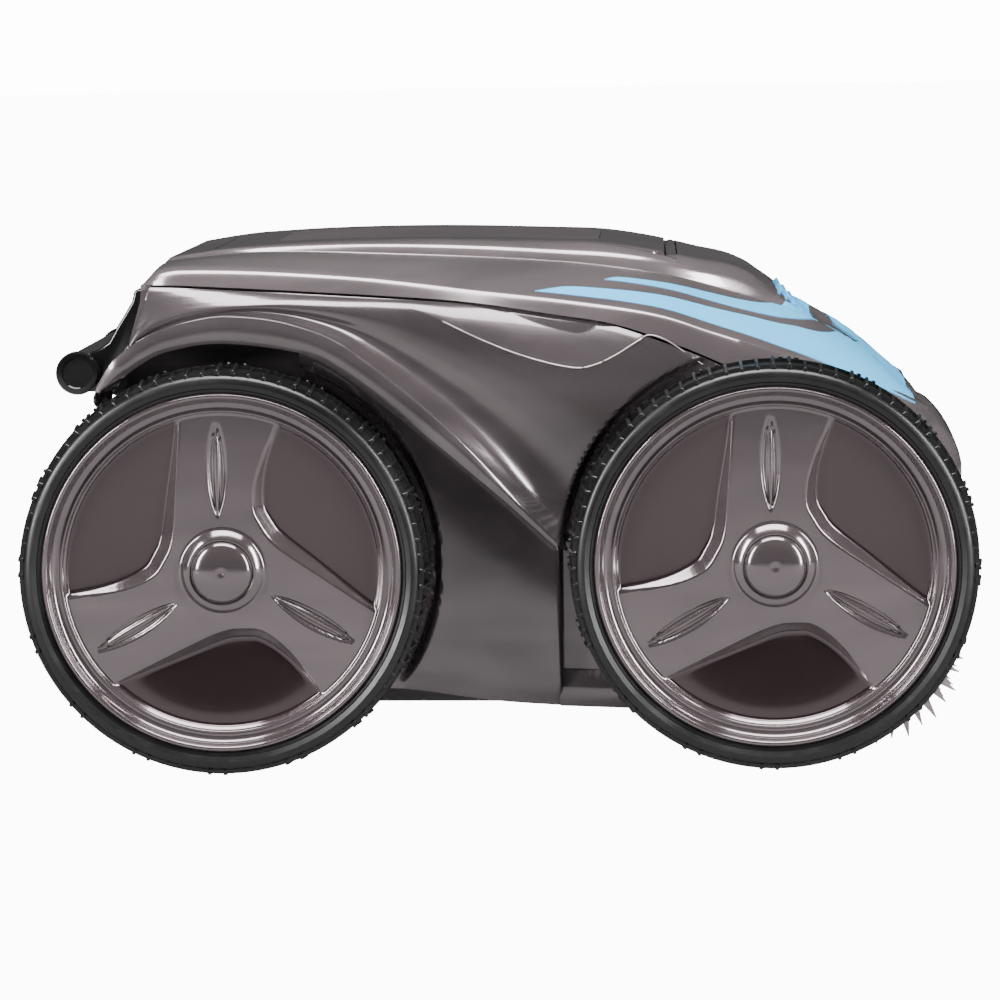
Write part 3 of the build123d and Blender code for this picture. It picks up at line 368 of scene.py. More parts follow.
float_foam = moulded("float_foam", (0.6,) * 3, (0.78,) * 3, 0.85, bump=0.4)
smoked = moulded("smoked_window", grey(0.13), grey(0.2), 0.14, scuff=0.04, bump=0.0, Metallic=0.6)
# light grey for the bead along the scoop's lower edge: a painted highlight
painted_scoop_highlight = moulded("painted_highlight_line", grey(0.5), grey(0.62), 0.2, Metallic=0.6)

BY_SLOT = {
    "shell_grey": shell_paint,
    "wheel_grey": wheel_paint,
    "tyre": tyre_rubber,
    "accent_blue": blue_trim,
    "handle_black": handle_black,
    "chassis_grey": chassis_grey,
    "motor_black": motor_black,
    "gear_white": gear_white,
    "steel": steel,
    "bush_brass": bearing_bronze,
    "blade_grey": blade_rubber,
    "core_grey": core_grey,
    "seal_rubber": seal_rubber,
    "mesh_white": filter_cloth,
    "foam_white": float_foam,
    "smoked_window": smoked,
}


def dress_nodes():
    """Gives every CAD node the material of its slot."""
    slots = {part["node"]: part["material_slot"] for part in frame["record"]["subparts"]}
    for name, piece in frame["nodes"].items():
        piece.data.materials.clear()
        piece.data.materials.append(BY_SLOT[slots[name]])
        smooth(piece, 30)


# ---------------------------------------------------------------- wheels
POCKET = [(29, 74.6), (18.4, 50.2), (15.5, 33), (19.1, 23), (27, 12.9), (47.1, -1.4), (77.2, -21.5)]
POCKET_RIM = 78.6
POCKET_SLOPE = 0.95  # depth of a pocket's wall for each millimetre in from its edge
SPOKES = 3
GROOVE_START, GROOVE_LENGTH = 27.0, 48.5


def rounded_path(points, each=6):
    """Points of a smooth path through the given ones."""
    path = []
    for i in range(len(points) - 1):
        a, b = points[max(i - 1, 0)], points[i]
        c, d = points[i + 1], points[min(i + 2, len(points) - 1)]
        for k in range(each):
            t = k / each
            path.append(
                tuple(
                    0.5
                    * (
                        2 * b[n]
                        + (c[n] - a[n]) * t
                        + (2 * a[n] - 5 * b[n] + 4 * c[n] - d[n]) * t * t
                        + (3 * b[n] - a[n] - 3 * c[n] + d[n]) * t**3
                    )
                    for n in (0, 1)
                )
            )
    path.append(points[-1])
    return path


def distance_to(path, x, z):
    """Distance from a point to a path, positive on its left."""
    best, sign = 1e9, 1
    for (ax, az), (bx, bz) in zip(path, path[1:]):
        ex, ez = bx - ax, bz - az
        t = min(max(((x - ax) * ex + (z - az) * ez) / (ex * ex + ez * ez), 0.0), 1.0)
        dx, dz = x - ax - t * ex, z - az - t * ez
        gap = dx * dx + dz * dz
        if gap < best:
            best, sign = gap, 1 if ex * dz - ez * dx > 0 else -1
    return sign * sqrt(best)


pocket_path = rounded_path(POCKET)


def sectors(x, z):
    """The same point of the wheel's face, seen from each of its three spokes."""
    for k in range(SPOKES):
        turn = radians(-360 / SPOKES * k)
        yield x * cos(turn) - z * sin(turn), x * sin(turn) + z * cos(turn)


def pocket_floor(radius):
    """Share of the pocket's depth that is left at a radius: 1 near the hub, 0 at the rim."""
    return 1 - ease(28, 80, radius)


def spoke_relief(x, z):
    """Depth of the pockets and of the twin grooves at a point of the wheel's face."""
    radius = sqrt(x * x + z * z)
    depth = 0.0
    for px, pz in sectors(x, z):
        if px > 5 and pz > -30:
            inside = distance_to(pocket_path, px, pz)
            floor = 1.8 + 4.2 * pocket_floor(radius)
            wall = min(inside * POCKET_SLOPE, (POCKET_RIM - radius) * 1.6)
            if wall > 0:
                depth = max(depth, (wall + floor) * 0.5 - sqrt((wall - floor) ** 2 + 0.12) * 0.5)
        along, across = pz, px + 1.8
        if GROOVE_START < along < GROOVE_START + GROOVE_LENGTH:
            half = 5.4 * sin(pi * (along - GROOVE_START) / GROOVE_LENGTH) ** 0.75
            if abs(across) < half:
                depth = max(depth, 0.75 * (1 - cos(2 * pi * abs(across) / half)) * min(1, half / 3))
    return max(depth, 0.0)


def sunk(x, z):
    """How far a point of the wheel's face lies on the floor of a pocket, from 0 to 1: the mask of the shade
    painted on the pocket floors.
    """
    radius = sqrt(x * x + z * z)
    for px, pz in sectors(x, z):
        if px > 5 and pz > -30 and radius < POCKET_RIM - 0.6 and distance_to(pocket_path, px, pz) > 0:
            foot = (1.4 + 4.2 * pocket_floor(radius)) / POCKET_SLOPE
            return ease(foot - 1.0, foot + 1.0, distance_to(pocket_path, px, pz))
    return 0.0


def make_rim():
    """Wheel with swept spokes, twin grooves, outer lip and hub boss, about the Y axis."""
    step = 0.8
    face = [(22 + step * i, -FACE) for i in range(int((79.2 - 22) / step) + 1)]
    section = [(15.6, -FACE - 0.5), (15.6, -FACE - 3.6), (15.9, -FACE - 4), (16.6, -FACE - 4.1)]
    section += [(17.2, -FACE - 3.9), (20.4, -FACE - 0.9), (21, -FACE - 0.3), *face, (79.7, -FACE - 0.6)]
    section += [(80.1, -FACE - 1.5), (80.6, -FACE - 1.8), (81.2, -FACE - 1.6), (81.8, -FACE - 1.2)]
    section += [(83.4, -FACE - 1.5), (85, -FACE - 2.5), (86.2, -FACE - 4.4), (86.8, -FACE - 6.4)]
    section += [(87.4, -FACE - 7.4), (88.3, -FACE - 7.8), (89.2, -FACE - 7.4), (89.8, -FACE - 6.2)]
    section += [(89.9, -172), (86, -172), (86, -197), (22, -200)]
    section += [(20, -198), (20, -172), (13.1, -172), (13.1, -FACE - 0.5)]
    rim = lathe("rim", section, steps=540)
    # colour attribute per point, 1 on the pocket floors: the mask that paints shade on them
    pocket_shade = rim.data.color_attributes.new("pocket_shade", "FLOAT_COLOR", "POINT")
    for vertex in rim.data.vertices:
        x, y, z = (value / MM for value in vertex.co)
        radius = sqrt(x * x + z * z)
        shade = 0.0
        if y < -FACE + 1 and 21.9 < radius < 79.3:
            vertex.co.y += spoke_relief(x, z) * MM
            shade = sunk(x, z)
        pocket_shade.data[vertex.index].color = (shade, shade, shade, 1)
    smooth(rim, 70)
    return rim


def make_cap():
    """Domed hub cap with a small dimple in its middle."""
    section = [(14.2, -206), (15.5, -206), (15.5, -209.6), (15.3, -210)]
    section += [(15.3 * cos(radians(a)), -209.4 - 5.1 * sin(radians(a))) for a in range(12, 86, 8)]
    section += [(0.9, -214.3), (0.0, -213.6), (0.0, -212), (8, -211), (13, -208.5)]
    cap = lathe("cap", section, steps=96)
    smooth(cap, 50)
    return cap


def make_tyre():
    """Tyre with a rounded wall and a tread of small cross ribs between thin rings."""
    section = [(90.05, -212), (91.6, -212.6), (92.2, -213.8), (94.5, -215), (96.8, -214.6), (98.6, -213)]
    section += [(99.4, -210.6), (100.3, -204), (100.6, -192), (100.3, -180), (99.4, -173.4)]
    section += [(98.6, -171), (96.8, -169.4), (94, -169), (90.05, -172)]
    ring = lathe("tyre", section, steps=160)
    parts = [ring]
    for y, low in ((-212.2, 98.6), (-192, 100.2), (-171.8, 98.6)):
        high = low + 2.1
        parts.append(lathe("band", [(low, y - 0.9), (high, y - 0.7), (high, y + 0.7), (low, y + 0.9)]))
    ribs, lug_every = 80, 5
    for row, (y_low, y_high, edge) in enumerate(((-213.4, -192, -1), (-192, -170.6, 1))):
        deselect()
        bpy.ops.mesh.primitive_cube_add(size=1)
        rib = bpy.context.object
        for vertex in rib.data.vertices:
            outer = vertex.co.y * edge > 0
            top = vertex.co.z > 0
            y = y_low if vertex.co.y < 0 else y_high
            radius = 97.5 if not top else (100.4 if outer else 102.4)
            vertex.co = Vector((vertex.co.x * (1.7 if top else 2.5), y, radius)) * MM
        apply(rib, "BEVEL", width=0.35 * MM, segments=1)
        for k in range(ribs):
            turn = 2 * pi * (k + 0.5 * row) / ribs
            scale = 1.0105 if k % lug_every in (0, 1) else 1.0
            matrix = Matrix.Rotation(turn, 4, "Y") @ Matrix.Diagonal((1, 1, scale, 1))
            parts.append(copied(rib, "rib", matrix))
        bpy.data.objects.remove(rib)
    tyre = joined("tyre", parts)
    smooth(tyre, 35)
    return tyre


def build_wheels():
    """All four wheels from one tyre, one rim and one cap."""
    kinds = (
        (make_tyre(), "tyre", tyre_rubber, "tyre"),
        (make_rim(), "rim", wheel_paint, "wheel_grey"),
        (make_cap(), "hub_cap", wheel_paint, "wheel_grey"),
    )
    for source, kind, material, slot in kinds:
        for corner, end, side in WHEELS:
            mirror = MIRROR if side > 0 else Matrix.Identity(4)
            place = Matrix.Translation(Vector((end * AXLE_X, 0, AXLE_Z)) * MM)
            piece = copied(source, f"{kind}_look_{corner}", place @ mirror)
            finish_piece(piece, material, f"wheel_{corner}", [f"{kind}_{corner}"])
        bpy.data.objects.remove(source)


# ---------------------------------------------------------------- hood and stripes
ACROSS = [0, 20, 40, 55, 68, 78, 85, 89, 91.5, 93.5, 95.5, 97, 98, 99, 100, 101, 102, 103, 104, 105.2]
ACROSS += [106.6, 108.5, 111, 115, 120, 127, 134, 141, 147, 152, 155.5, 158, 159.6, 160.6, 161.4]
ACROSS += [162.2, 162.9, 163.5, 164.1, 164.6, 165]


def hood_height(x, station):
    """Height of the hood at X, and at a station counted from the middle line to the lip."""
    middle, dome, shoulder = on_curve(MIDDLE, x), on_curve(DOME_EDGE, x), on_curve(SHOULDER, x)
    crease, seam = on_curve(CREASE, x), on_curve(SEAM, x)
    groove = ease(-150, -100, x) * (1 - ease(120, 150, x))
    slope_front = ease(128, 142, x)
    flat = middle + (dome - middle) * 0.15
    profile = [
        (0, middle),
        (50, middle),
        (86, middle + (dome - middle) * 0.5 * slope_front),
        (94, flat + (dome - flat) * (0.4 + 0.4 * slope_front)),
        (98.5, dome - 0.8 * groove),
        (101.5, min(dome, shoulder) - 3.6 * groove),
        (103.8, min(dome, shoulder) - 3.9 * groove + 0.1),
        (106, shoulder - 1.2 * groove),
        (109, shoulder),
        (135, shoulder + (crease - shoulder) * 0.44 + 1.6),
        (157, crease + 2.0),
        (161, crease),
        (162.6, crease - 2.2),
        (165, seam),
    ]
    return on_curve(profile, station)


def dome_half_at(x):
    """Half width of the dome, which narrows to the front."""
    return DOME_HALF - 43 * ease(40, 200, x) ** 1.3


def hood_y(x, station):
    """Distance from the middle line: the dome narrows to the front, and the nose has round corners."""
    dome_half = dome_half_at(x)
    half = HOOD_HALF - 34 * max(0.0, (x - 168) / 45) ** 2.2
    if station < DOME_HALF:
        return station * dome_half / DOME_HALF
    return dome_half + (station - DOME_HALF) * (half - dome_half) / (HOOD_HALF - DOME_HALF)


def hood_point(x, station, lift=0.0):
    """Point of the hood's right-hand half, lifted off the surface if asked."""
    rear_round = 2.5 * max(0.0, (-174 - x) / 7) ** 2 if station < 161 else 0.0
    nose = 5.5 * ease(140, 213, x)
    lift += 2.0 * lift * ease(130, 190, x)
    return (x + nose, -hood_y(x, station), hood_height(x, station) - rear_round + lift)


def build_hood():
    """Hood as one moulded wall, with the lid's opening and the grille's opening cut through."""
    length = 160
    last = len(ACROSS) - 1

    def place(u, v):
        t = u - 0.06 * sin(2 * pi * u)
        x = -178.8 + 391.8 * t
        across = (v - 0.5) * 2 * last
        i = min(int(abs(across) + 1e-6), last - 1)
        part = abs(across) - i
        station = ACROSS[i] + (ACROSS[i + 1] - ACROSS[i]) * part
        px, py, pz = hood_point(x, station)
        skirt = min(1.0, u * length / 5)
        pz = 244.6 + (pz - 244.6) * sin(pi / 2 * skirt)
        px -= 1.2 * (1 - skirt)
        return (px, py if across >= 0 else -py, pz)

    hood = sheet_of("hood_look", length, 2 * last, place, (0, 0, 1), wall=2.6)
    cutter = rounded_box(-151, 91.3, 89, 12)
    apply(hood, "BOOLEAN", object=cutter, operation="DIFFERENCE", solver="EXACT")
    bpy.data.objects.remove(cutter)
    deselect()
    bpy.ops.mesh.primitive_cube_add(size=1)
    cutter = bpy.context.object
    cutter.data.transform(Matrix.Diagonal(Vector((30.4, 104.4, 40, 1)) * MM))
    apply(cutter, "BEVEL", width=7 * MM, segments=5)
    tilt = Matrix.Rotation(GRILLE_TILT, 4, "Y")
    cutter.data.transform(Matrix.Translation(Vector(GRILLE) * MM) @ tilt)
    apply(hood, "BOOLEAN", object=cutter, operation="DIFFERENCE", solver="EXACT")
    bpy.data.objects.remove(cutter)
    smooth(hood, 32)
    finish_piece(hood, shell_paint, "body", ["hood"])


def rounded_box(x_low, x_high, half, corner):
    """Tall cutter with rounded corners, seen from above."""
    deselect()
    bpy.ops.mesh.primitive_cube_add(size=1)
    cutter = bpy.context.object
    for vertex in cutter.data.vertices:
        x = x_low if vertex.co.x < 0 else x_high
        vertex.co = Vector((x, vertex.co.y * 2 * half, 150 if vertex.co.z < 0 else 350)) * MM
    apply(cutter, "BEVEL", width=corner * MM, segments=6)
    return cutter


def build_lid():
    """Filter lid with its window, both following the crown of the hood, and the hinge barrel."""

    def place(u, v):
        x, y = -156 + 244 * u, (v - 0.5) * 184
        px, _, pz = hood_point(x, abs(y) * DOME_HALF / dome_half_at(x))
        return (px, y, pz)

    plate = sheet_of("lid_plate", 100, 72, place, (0, 0, 1), wall=2.6)
    pane = copied(plate, "lid_window_look", Matrix.Identity(4))
    steps = (
        (plate, (-150.2, 84.6, 88.2, 11), "INTERSECT"),
        (plate, (-120.3, 50.3, 62.3, 18), "DIFFERENCE"),
        (pane, (-120, 50, 62, 18), "INTERSECT"),
    )
    for piece, size, operation in steps:
        cutter = rounded_box(*size)
        apply(piece, "BOOLEAN", object=cutter, operation=operation, solver="EXACT")
        bpy.data.objects.remove(cutter)
    barrel = lathe("barrel", [(0, -88.4), (3.2, -88.4), (3.2, 88.4), (0, 88.4)], steps=40, centre=(88, 249.3))
    lid = joined("lid_frame_look", [plate, barrel])
    smooth(lid, 32)
    smooth(pane, 32)
    finish_piece(lid, shell_paint, "access_lid", ["lid_frame"])
    finish_piece(pane, smoked, "access_lid", ["lid_window"])


def build_grille():
    """Outlet grille in the nose: a back plate with bars that stand a little proud."""
    width, bars, pitch = 103.8, 6, 5.0
    boxes = [((29.8, width, 1.6), (0, -2.4))]
    boxes += [((1.7, width, 4.2), (pitch * (k - (bars - 1) / 2), -0.3)) for k in range(bars)]
    parts = []
    for size, (along, up) in boxes:
        deselect()
        bpy.ops.mesh.primitive_cube_add(size=1)
        bar = bpy.context.object
        bar.data.transform(Matrix.Diagonal(Vector((*size, 1 / MM)) * MM))
        bar.data.transform(Matrix.Translation(Vector((along, 0, up)) * MM))
        apply(bar, "BEVEL", width=0.35 * MM, segments=2)
        parts.append(bar)
    grille = joined("outlet_grille_look", parts)
    grille.data.transform(Matrix.Translation(Vector(GRILLE) * MM) @ Matrix.Rotation(GRILLE_TILT, 4, "Y"))
    smooth(grille, 35)
    finish_piece(grille, blue_trim, "body", ["outlet_grille"])


# stripes as X, station of the upper edge, station of the lower edge
STRIPE_LONG = [(19, 155.4, 155.8), (34, 148, 155.6), (52, 145.5, 155.2), (81, 143, 155), (107, 141, 155)]
STRIPE_LONG += [(128, 138, 155.4), (149, 134, 157), (168, 120, 160), (180, 70, 160.6), (188, 2, 160.8)]
STRIPE_LONG += [(206, 0, 160.8)]
STRIPE_SHORT = [(54, 134.8, 135.2), (60, 129.5, 134.6), (75, 127.5, 134.4), (94, 125, 134)]
STRIPE_SHORT += [(113, 122.5, 133.5), (126, 119, 132), (137, 112, 129.5)]
STRIPE_SHORT += [(146, 101, 126), (155, 84, 118), (163, 60, 105)]


def build_stripes():
    """Coloured inlays that follow the hood's shoulders."""
    made = []
    for label, table in (("long", STRIPE_LONG), ("short", STRIPE_SHORT)):
        upper = [(x, high) for x, high, _ in table]
        lower = [(x, low) for x, _, low in table]
        rear, front = table[0][0], table[-1][0]

        def place(u, v):
            x = rear + (front - rear) * u
            high, low = on_curve(upper, x), on_curve(lower, x)
            return hood_point(x, high + (low - high) * v, 0.22)

        stripe = sheet_of(f"stripe_{label}", 90, 14, place, (0, 0, 1), wall=0.5)
        made += [stripe, copied(stripe, f"stripe_{label}_left", MIRROR)]
    stripes = joined("accent_stripes_look", made)
    smooth(stripes, 50)
    finish_piece(stripes, blue_trim, "body", ["accent_stripes"])


# ---------------------------------------------------------------- side panels
def tucked(x, y, z, inner=104.8, outer=108.0, depth=166.0):
    """Draws a side wall in behind the tyres."""
    for end in (1, -1):
        radius = sqrt((x - end * AXLE_X) ** 2 + (z - AXLE_Z) ** 2)
        y = min(y, depth + max(0.0, y - depth) * ease(inner, outer, radius))
    return y


PANEL_ROWS = [(0, 168.4), (0.04, 169.8), (0.14, 172), (0.3, 174.3), (0.5, 176), (0.68, 176), (0.8, 175.2)]
PANEL_ROWS += [(0.88, 176.5), (0.94, 181), (0.98, 187), (1.0, 190)]
SKIN_SHARE = 0.84  # share of the panel's rows above the fender's crest


def panel_point(u, v):
    """Upper side panel: seam, bulge with scoop, concave foot, crest, lip and its underside."""
    corner = 0.03
    t = max(0.0, (u - corner) / (1 - corner))
    skin = min(v / SKIN_SHARE, 1.0)
    top_x, crest_x = -175.8 + 325.8 * t, -204.8 + 252.8 * t
    band_x = -198 + 246 * t
    top = (top_x, on_curve(SEAM, top_x) - 1.1)
    crest = (crest_x, on_curve(CREST, crest_x))
    band = (band_x, on_curve(BAND_EDGE, band_x))
    flare = 1 - 0.45 * ease(-20, 40, crest_x) - 0.35 * ease(-190, -206, crest_x)
    if v <= SKIN_SHARE:
        x = top[0] + (crest[0] - top[0]) * skin
        z = top[1] + (crest[1] - top[1]) * skin
        x += 4.5 * sin(pi * skin) * max(0.0, 1 - 8 * t)
        y = on_curve(PANEL_ROWS, skin)
        y = 175 + (y - 175) * flare if y > 175 else y
        if skin < 0.8:
            inside = distance_to(scoop_path, x, z)
            y -= min(5.5, max(0.0, inside) * 0.32) * ease(-50, -20, x)
    else:
        w = (v - SKIN_SHARE) / (1 - SKIN_SHARE)
        rim = 175 + (190 - 175) * flare
        if w < 0.6:
            k = w / 0.6
            x, z = crest[0] + (band[0] - crest[0]) * k, crest[1] + (band[1] - crest[1]) * k
            y = rim + 1.2 * sin(pi * k)
        else:
            k = (w - 0.6) / 0.4
            x, z = band[0], band[1] + 1.5 * k
            y = rim + (168 - rim) * k
    y = tucked(x, y, z)
    if u < corner:
        k = sin(pi / 2 * u / corner)
        y = 146 + (y - 146) * k
        x -= 2.0 * (1 - k)
    return (x, -y, z)


scoop_path = rounded_path(SCOOP, 4)
LOWER_FRONT, LOWER_REAR = 28.5, -100.0
LOWER_FLAT = 0.93  # share of the lower wall before its rolled front edge
LOWER_BOTTOM = [(-100, 30), (-80, 35.5), (-54.6, 38), (-1.7, 31), (40, 27.8)]


def lower_point(u, v):
    """Lower side wall between the wheels, rolled in at its front edge and at its foot."""
    x = LOWER_REAR + (LOWER_FRONT - LOWER_REAR) * min(u / LOWER_FLAT, 1.0)
    top, bottom = on_curve(BAND_EDGE, x) - 0.5, on_curve(LOWER_BOTTOM, x)
    z = top + (bottom - top) * v
    y = 170.5 + 3.0 * sin(pi * min(1.0, v * 1.05)) ** 0.7 - 5 * max(0.0, (v - 0.8) / 0.2) ** 2
    y = tucked(x, y, z)
    if u > LOWER_FLAT:
        k = (u - LOWER_FLAT) / (1 - LOWER_FLAT)
        x += 3.2 * sin(pi / 2 * min(1.0, k * 1.6))
        y -= 22 * max(0.0, k - 0.25) + 3 * k
    return (x, -y, z)


def sill_point(u, v):
    """Sill that carries on under the front wheel."""
    y = 166 + 3 * sin(pi * v)
    return (29 + 101 * u, -y, 47 - 18.7 * v - 4.5 * u)


def build_side(side_name, side):
    """Side panel with fender, lower cover, sill and a light-grey bead painted as the highlight along the
    scoop's edge, for one side.
    """
    mirror = MIRROR if side > 0 else Matrix.Identity(4)
    panel = sheet_of("panel", 260, 120, panel_point, (0, -1, 0.2), wall=1.2)
    section = [(67.5, -161.5), (99, -161.5), (99, -164), (67.5, -164)]
    well = lathe("well", section, steps=96, centre=(AXLE_X, AXLE_Z))
    panel = joined("panel", [panel, well])
    smooth(panel, 45)
    upper = copied(panel, f"side_panel_look_{side_name}", mirror)
    bpy.data.objects.remove(panel)
    finish_piece(upper, panel_paint, "body", [f"side_panel_{side_name}"])

    low = sheet_of("low", 120, 60, lower_point, (0, -1, 0), wall=1.5)
    sill = sheet_of("sill", 20, 12, sill_point, (0, -1, 0), wall=1.5)
    rear_well = lathe("well", section, steps=96, centre=(-AXLE_X, AXLE_Z))
    behind = outline("behind", [(8, 40), (62, 40), (62, 150), (8, 150)], -161.5, -2)
    low = joined("low", [low, sill, behind, rear_well])
    smooth(low, 45)
    cover = copied(low, f"gear_cover_look_{side_name}", mirror)
    bpy.data.objects.remove(low)
    finish_piece(cover, panel_paint, "body", [f"gear_cover_{side_name}"])

    # light-grey bead along the scoop's lower edge, painted as the highlight there
    line_points = [panel_line(x, z) for x, z in rounded_path(SCOOP[1:], 5)]
    bead = bead_along("painted_scoop_highlight", line_points, 0.42)
    line = copied(bead, f"painted_scoop_highlight_{side_name}", mirror)
    bpy.data.objects.remove(bead)
    smooth(line, 60)
    finish_piece(line, painted_scoop_highlight, "body", ())


def panel_line(x, z):
    """Point on the panel's surface beside the scoop, at X and Z."""
    best = min(
        (panel_point(u / 200, v / 60 * 0.7) for u in range(60, 200) for v in range(0, 61, 3)),
        key=lambda p: (p[0] - x) ** 2 + (p[2] - z) ** 2,
    )
    return Vector((x, best[1] - 0.15, z))


def bead_along(name, points, radius):
    """Thin round bead along points, in mm."""
    curve = bpy.data.curves.new(name, "CURVE")
    curve.dimensions = "3D"
    curve.bevel_depth = radius * MM
    curve.bevel_resolution = 2
    spline = curve.splines.new("POLY")
    spline.points.add(len(points) - 1)
    for target, point in zip(spline.points, points):
        target.co = (*(point * MM), 1)
    piece = bpy.data.objects.new(name, curve)
    bpy.context.scene.collection.objects.link(piece)
    pick(piece)
    bpy.ops.object.convert(target="MESH")
    return bpy.context.object


# ---------------------------------------------------------------- bumper, handle and brushes
BUMPER = [(214, 171.5), (224, 169.6), (230.5, 164), (235, 157), (237.3, 149.5), (237.6, 142), (237, 125)]
BUMPER += [(234, 107.5), (228.5, 99.5), (218, 97)]


def build_bumper():
    """Front bumper: one bowed wall under the nose, with round ends."""
    path = rounded_path(BUMPER, 4)
    last = len(path) - 1

    def place(u, v):
        y = (u - 0.5) * 2
        i = min(int(v * last), last - 1)
        t = v * last - i
        x = path[i][0] + (path[i + 1][0] - path[i][0]) * t
        z = path[i][1] + (path[i + 1][1] - path[i][1]) * t
        round_end = max(0.0, (abs(y) - 0.7) / 0.3) ** 2.6
        return (211 + (x - 211) * (1 - 0.75 * round_end) - 22 * round_end, 132 * y, z - 9 * y * y)

    bumper = sheet_of("front_bumper_look", 80, 40, place, (1, 0, 0), wall=2.5)
    smooth(bumper, 40)
    finish_piece(bumper, shell_paint, "body", ["front_bumper"])


ARM = [(-184, 238.5), (-192, 238.3), (-193.6, 232), (-197.5, 225.5), (-201.5, 219.3), (-206.1, 211)]
ARM += [(-211, 207.5), (-217, 205.6), (-222, 205.4), (-229, 202.5), (-232, 195.4), (-229, 188.4)]
ARM += [(-222, 185.4), (-208, 184.6), (-200, 181.5), (-192, 179), (-190, 200), (-188.8, 213.7)]


def build_handle():
    """Carrying bar on two arms, with ringed end caps."""
    parts = []
    for start in (-90, 72):
        arm = outline("arm", ARM, start, 18)
        apply(arm, "BEVEL", width=1.6 * MM, segments=3, limit_method="ANGLE")
        parts.append(arm)
    half = 92
    section = [(0, -half), (HANDLE_RADIUS - 1, -half), (HANDLE_RADIUS, -half + 1), (HANDLE_RADIUS, half - 1)]
    section += [(HANDLE_RADIUS - 1, half), (0, half)]
    parts.append(lathe("bar", section, steps=64, centre=(HANDLE_X, HANDLE_Z)))
    handle = joined("rear_handle_look", parts)
    smooth(handle, 40)
    finish_piece(handle, handle_black, "body", ["rear_handle"])

    cap_section = [(0, 92), (11, 92), (11.3, 92.5), (11.3, 94), (10.6, 94.4), (10.6, 95.2), (11.3, 95.6)]
    cap_section += [(11.3, 97.4), (10.4, 98.8), (8, 99), (7.4, 98.2), (0, 98.2)]
    cap = lathe("cap", cap_section, steps=64, centre=(HANDLE_X, HANDLE_Z))
    caps = joined("handle_end_caps_look", [cap, copied(cap, "cap_right", MIRROR)])
    smooth(caps, 40)
    finish_piece(caps, handle_black, "body", ["handle_end_caps"])


def make_blade():
    """One pointed rubber finger of the brush, standing up from the brush's axis."""
    deselect()
    bpy.ops.mesh.primitive_cube_add(size=1)
    blade = bpy.context.object
    edit(blade, lambda: bpy.ops.mesh.subdivide(number_cuts=2))
    for vertex in blade.data.vertices:
        t = vertex.co.z + 0.5
        width = 6.4 * (1 - t) ** 0.5 + 0.6
        thick = 4.4 * (1 - t**6) + 0.5
        lean = 7.0 * t * t
        height = 17 + t * (BRUSH_RADIUS - 17.3)
        vertex.co = Vector((vertex.co.x * thick + lean, vertex.co.y * width, height)) * MM
    return blade


def build_brushes():
    """Sleeve with rows of pointed fingers, staggered from one ring to the next."""
    inner, outer, rows, rings = 6.5, 141.5, 17, 13
    pitch = (outer - inner) / rings
    blade = make_blade()
    for side_name, side in SIDES:
        sleeve = lathe("sleeve", [(15.1, inner), (18, inner), (18, outer), (15.1, outer)], steps=64)
        parts = [sleeve]
        for ring in range(rings):
            for row in range(rows):
                turn = 2 * pi * (row + 0.5 * (ring % 2)) / rows
                move = Matrix.Translation(Vector((0, inner + (ring + 0.5) * pitch, 0)) * MM)
                parts.append(copied(blade, "finger", move @ Matrix.Rotation(turn, 4, "Y")))
        brush = joined("brush", parts)
        mirror = MIRROR if side < 0 else Matrix.Identity(4)
        place = Matrix.Translation(Vector((BRUSH_X, 0, BRUSH_Z)) * MM)
        piece = copied(brush, f"brush_blades_look_{side_name}", place @ mirror)
        bpy.data.objects.remove(brush)
        smooth(piece, 40)
        finish_piece(piece, blade_rubber, f"brush_{side_name}", [f"brush_blades_{side_name}"])
    bpy.data.objects.remove(blade)


# ---------------------------------------------------------------- stage, light and camera
def area_light(name, place, aim, size, size_y, power):
    """Soft rectangular lamp."""
    lamp = bpy.data.lights.new(name, "AREA")
    lamp.shape = "RECTANGLE"
    lamp.size, lamp.size_y, lamp.energy = size, size_y, power
    holder = bpy.data.objects.new(name, lamp)
    bpy.context.scene.collection.objects.link(holder)
    holder.location = place
    holder.rotation_euler = (Vector(aim) - Vector(place)).to_track_quat("-Z", "Y").to_euler()


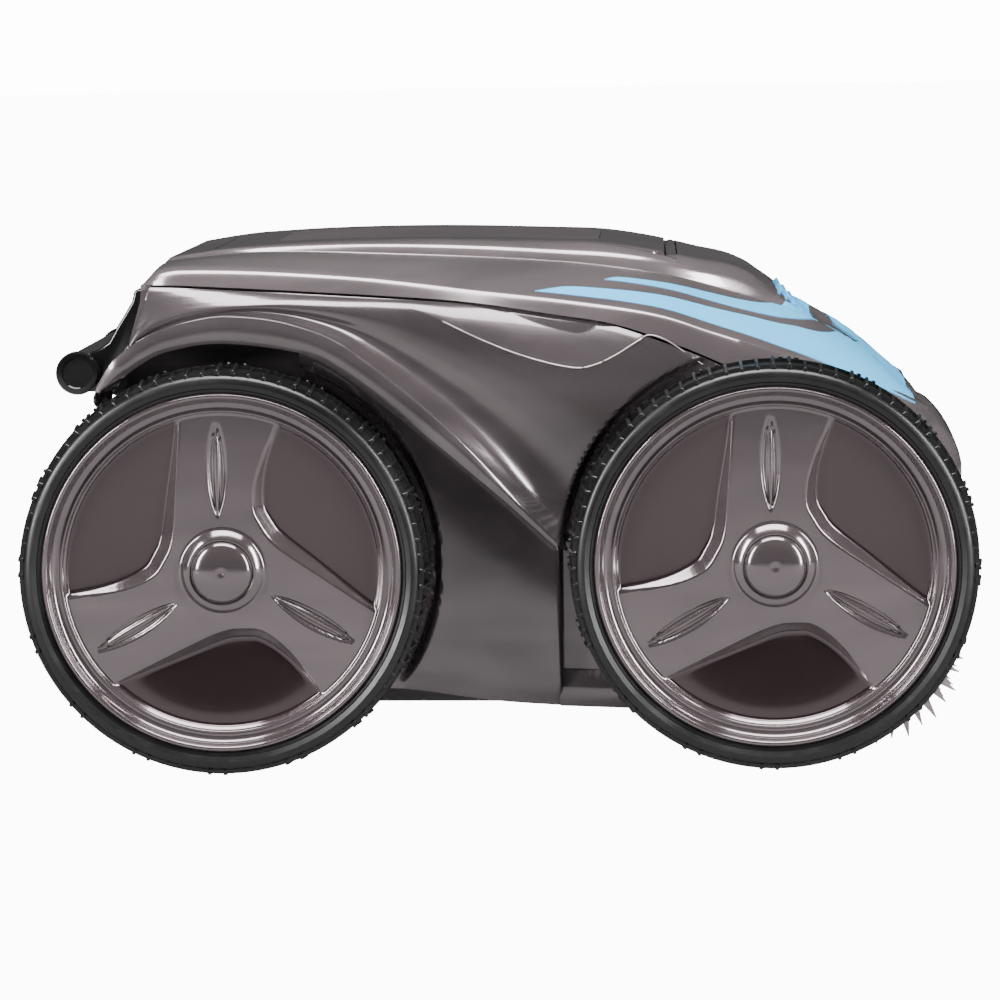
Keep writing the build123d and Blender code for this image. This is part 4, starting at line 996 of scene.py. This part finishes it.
def build_stage():
    """Pale floor, white surroundings, soft lamps and the camera."""
    deselect()
    bpy.ops.mesh.primitive_plane_add(size=60, location=(0, 0, 0))
    floor = bpy.context.object
    floor.name = "floor"
    pale = bpy.data.materials.new("pale_floor")
    pale.use_nodes = True
    main = pale.node_tree.nodes["Principled BSDF"]
    main.inputs["Base Color"].default_value = (0.3, 0.3, 0.3, 1)
    main.inputs["Roughness"].default_value = 0.9
    main.inputs["Specular IOR Level"].default_value = 0.1
    tree = pale.node_tree
    seen = node(tree, "ShaderNodeLightPath").outputs["Is Camera Ray"]
    glow = node(tree, "ShaderNodeEmission", Color=(1, 1, 1, 1), Strength=12.0)
    mix = node(tree, "ShaderNodeMixShader", [(0, seen), (1, main.outputs[0]), (2, glow.outputs[0])])
    tree.links.new(mix.outputs[0], tree.nodes["Material Output"].inputs["Surface"])
    floor.data.materials.append(pale)

    world = bpy.data.worlds.new("studio")
    bpy.context.scene.world = world
    world.use_nodes = True
    tree = world.node_tree
    soft = tree.nodes["Background"]
    up = node(tree, "ShaderNodeSeparateXYZ", [(0, node(tree, "ShaderNodeTexCoord").outputs["Generated"])])
    level = node(tree, "ShaderNodeMapRange", [("Value", up.outputs["Z"])])
    level.inputs["To Min"].default_value = 0.3
    level.inputs["To Max"].default_value = 2.0
    behind = node(tree, "ShaderNodeMapRange", [("Value", up.outputs["Y"])])
    behind.inputs["To Max"].default_value = 1.3
    sum_up = node(tree, "ShaderNodeMath", [(0, level.outputs[0]), (1, behind.outputs[0])], operation="ADD")
    tree.links.new(sum_up.outputs[0], soft.inputs["Strength"])
    white = node(tree, "ShaderNodeBackground", Color=(1, 1, 1, 1), Strength=14.0)
    seen = node(tree, "ShaderNodeLightPath").outputs["Is Camera Ray"]
    mix = node(tree, "ShaderNodeMixShader", [(0, seen), (1, soft.outputs[0]), (2, white.outputs[0])])
    tree.links.new(mix.outputs[0], tree.nodes["World Output"].inputs["Surface"])

    area_light("top", (0.0, -0.5, 1.9), (0, -0.05, 0.1), 1.6, 0.9, 75)
    area_light("left_strip", (-1.7, -1.3, 0.9), (0, 0, 0.12), 0.3, 1.5, 60)
    area_light("right_strip", (1.8, -1.2, 0.8), (0, 0, 0.12), 0.3, 1.5, 60)

    azimuth, elevation, roll, far = radians(2.1), radians(6.0), radians(-0.88), 2.2
    target = Vector((0.0009, -0.19, 0.1362))
    back = Vector((sin(azimuth) * cos(elevation), -cos(azimuth) * cos(elevation), sin(elevation)))
    lens = bpy.data.cameras.new("camera")
    lens.lens, lens.sensor_width = 158.4, 36
    lens.clip_start, lens.clip_end = 0.05, 100
    camera = bpy.data.objects.new("camera", lens)
    bpy.context.scene.collection.objects.link(camera)
    camera.location = target + back * far
    turn = (-back).to_track_quat("-Z", "Y").to_matrix().to_4x4() @ Matrix.Rotation(roll, 4, "Z")
    camera.rotation_euler = turn.to_euler()
    bpy.context.scene.camera = camera


dress_nodes()
build_wheels()
build_hood()
build_lid()
build_grille()
build_stripes()
for side_name, side in SIDES:
    build_side(side_name, side)
build_bumper()
build_handle()
build_brushes()
build_stage()
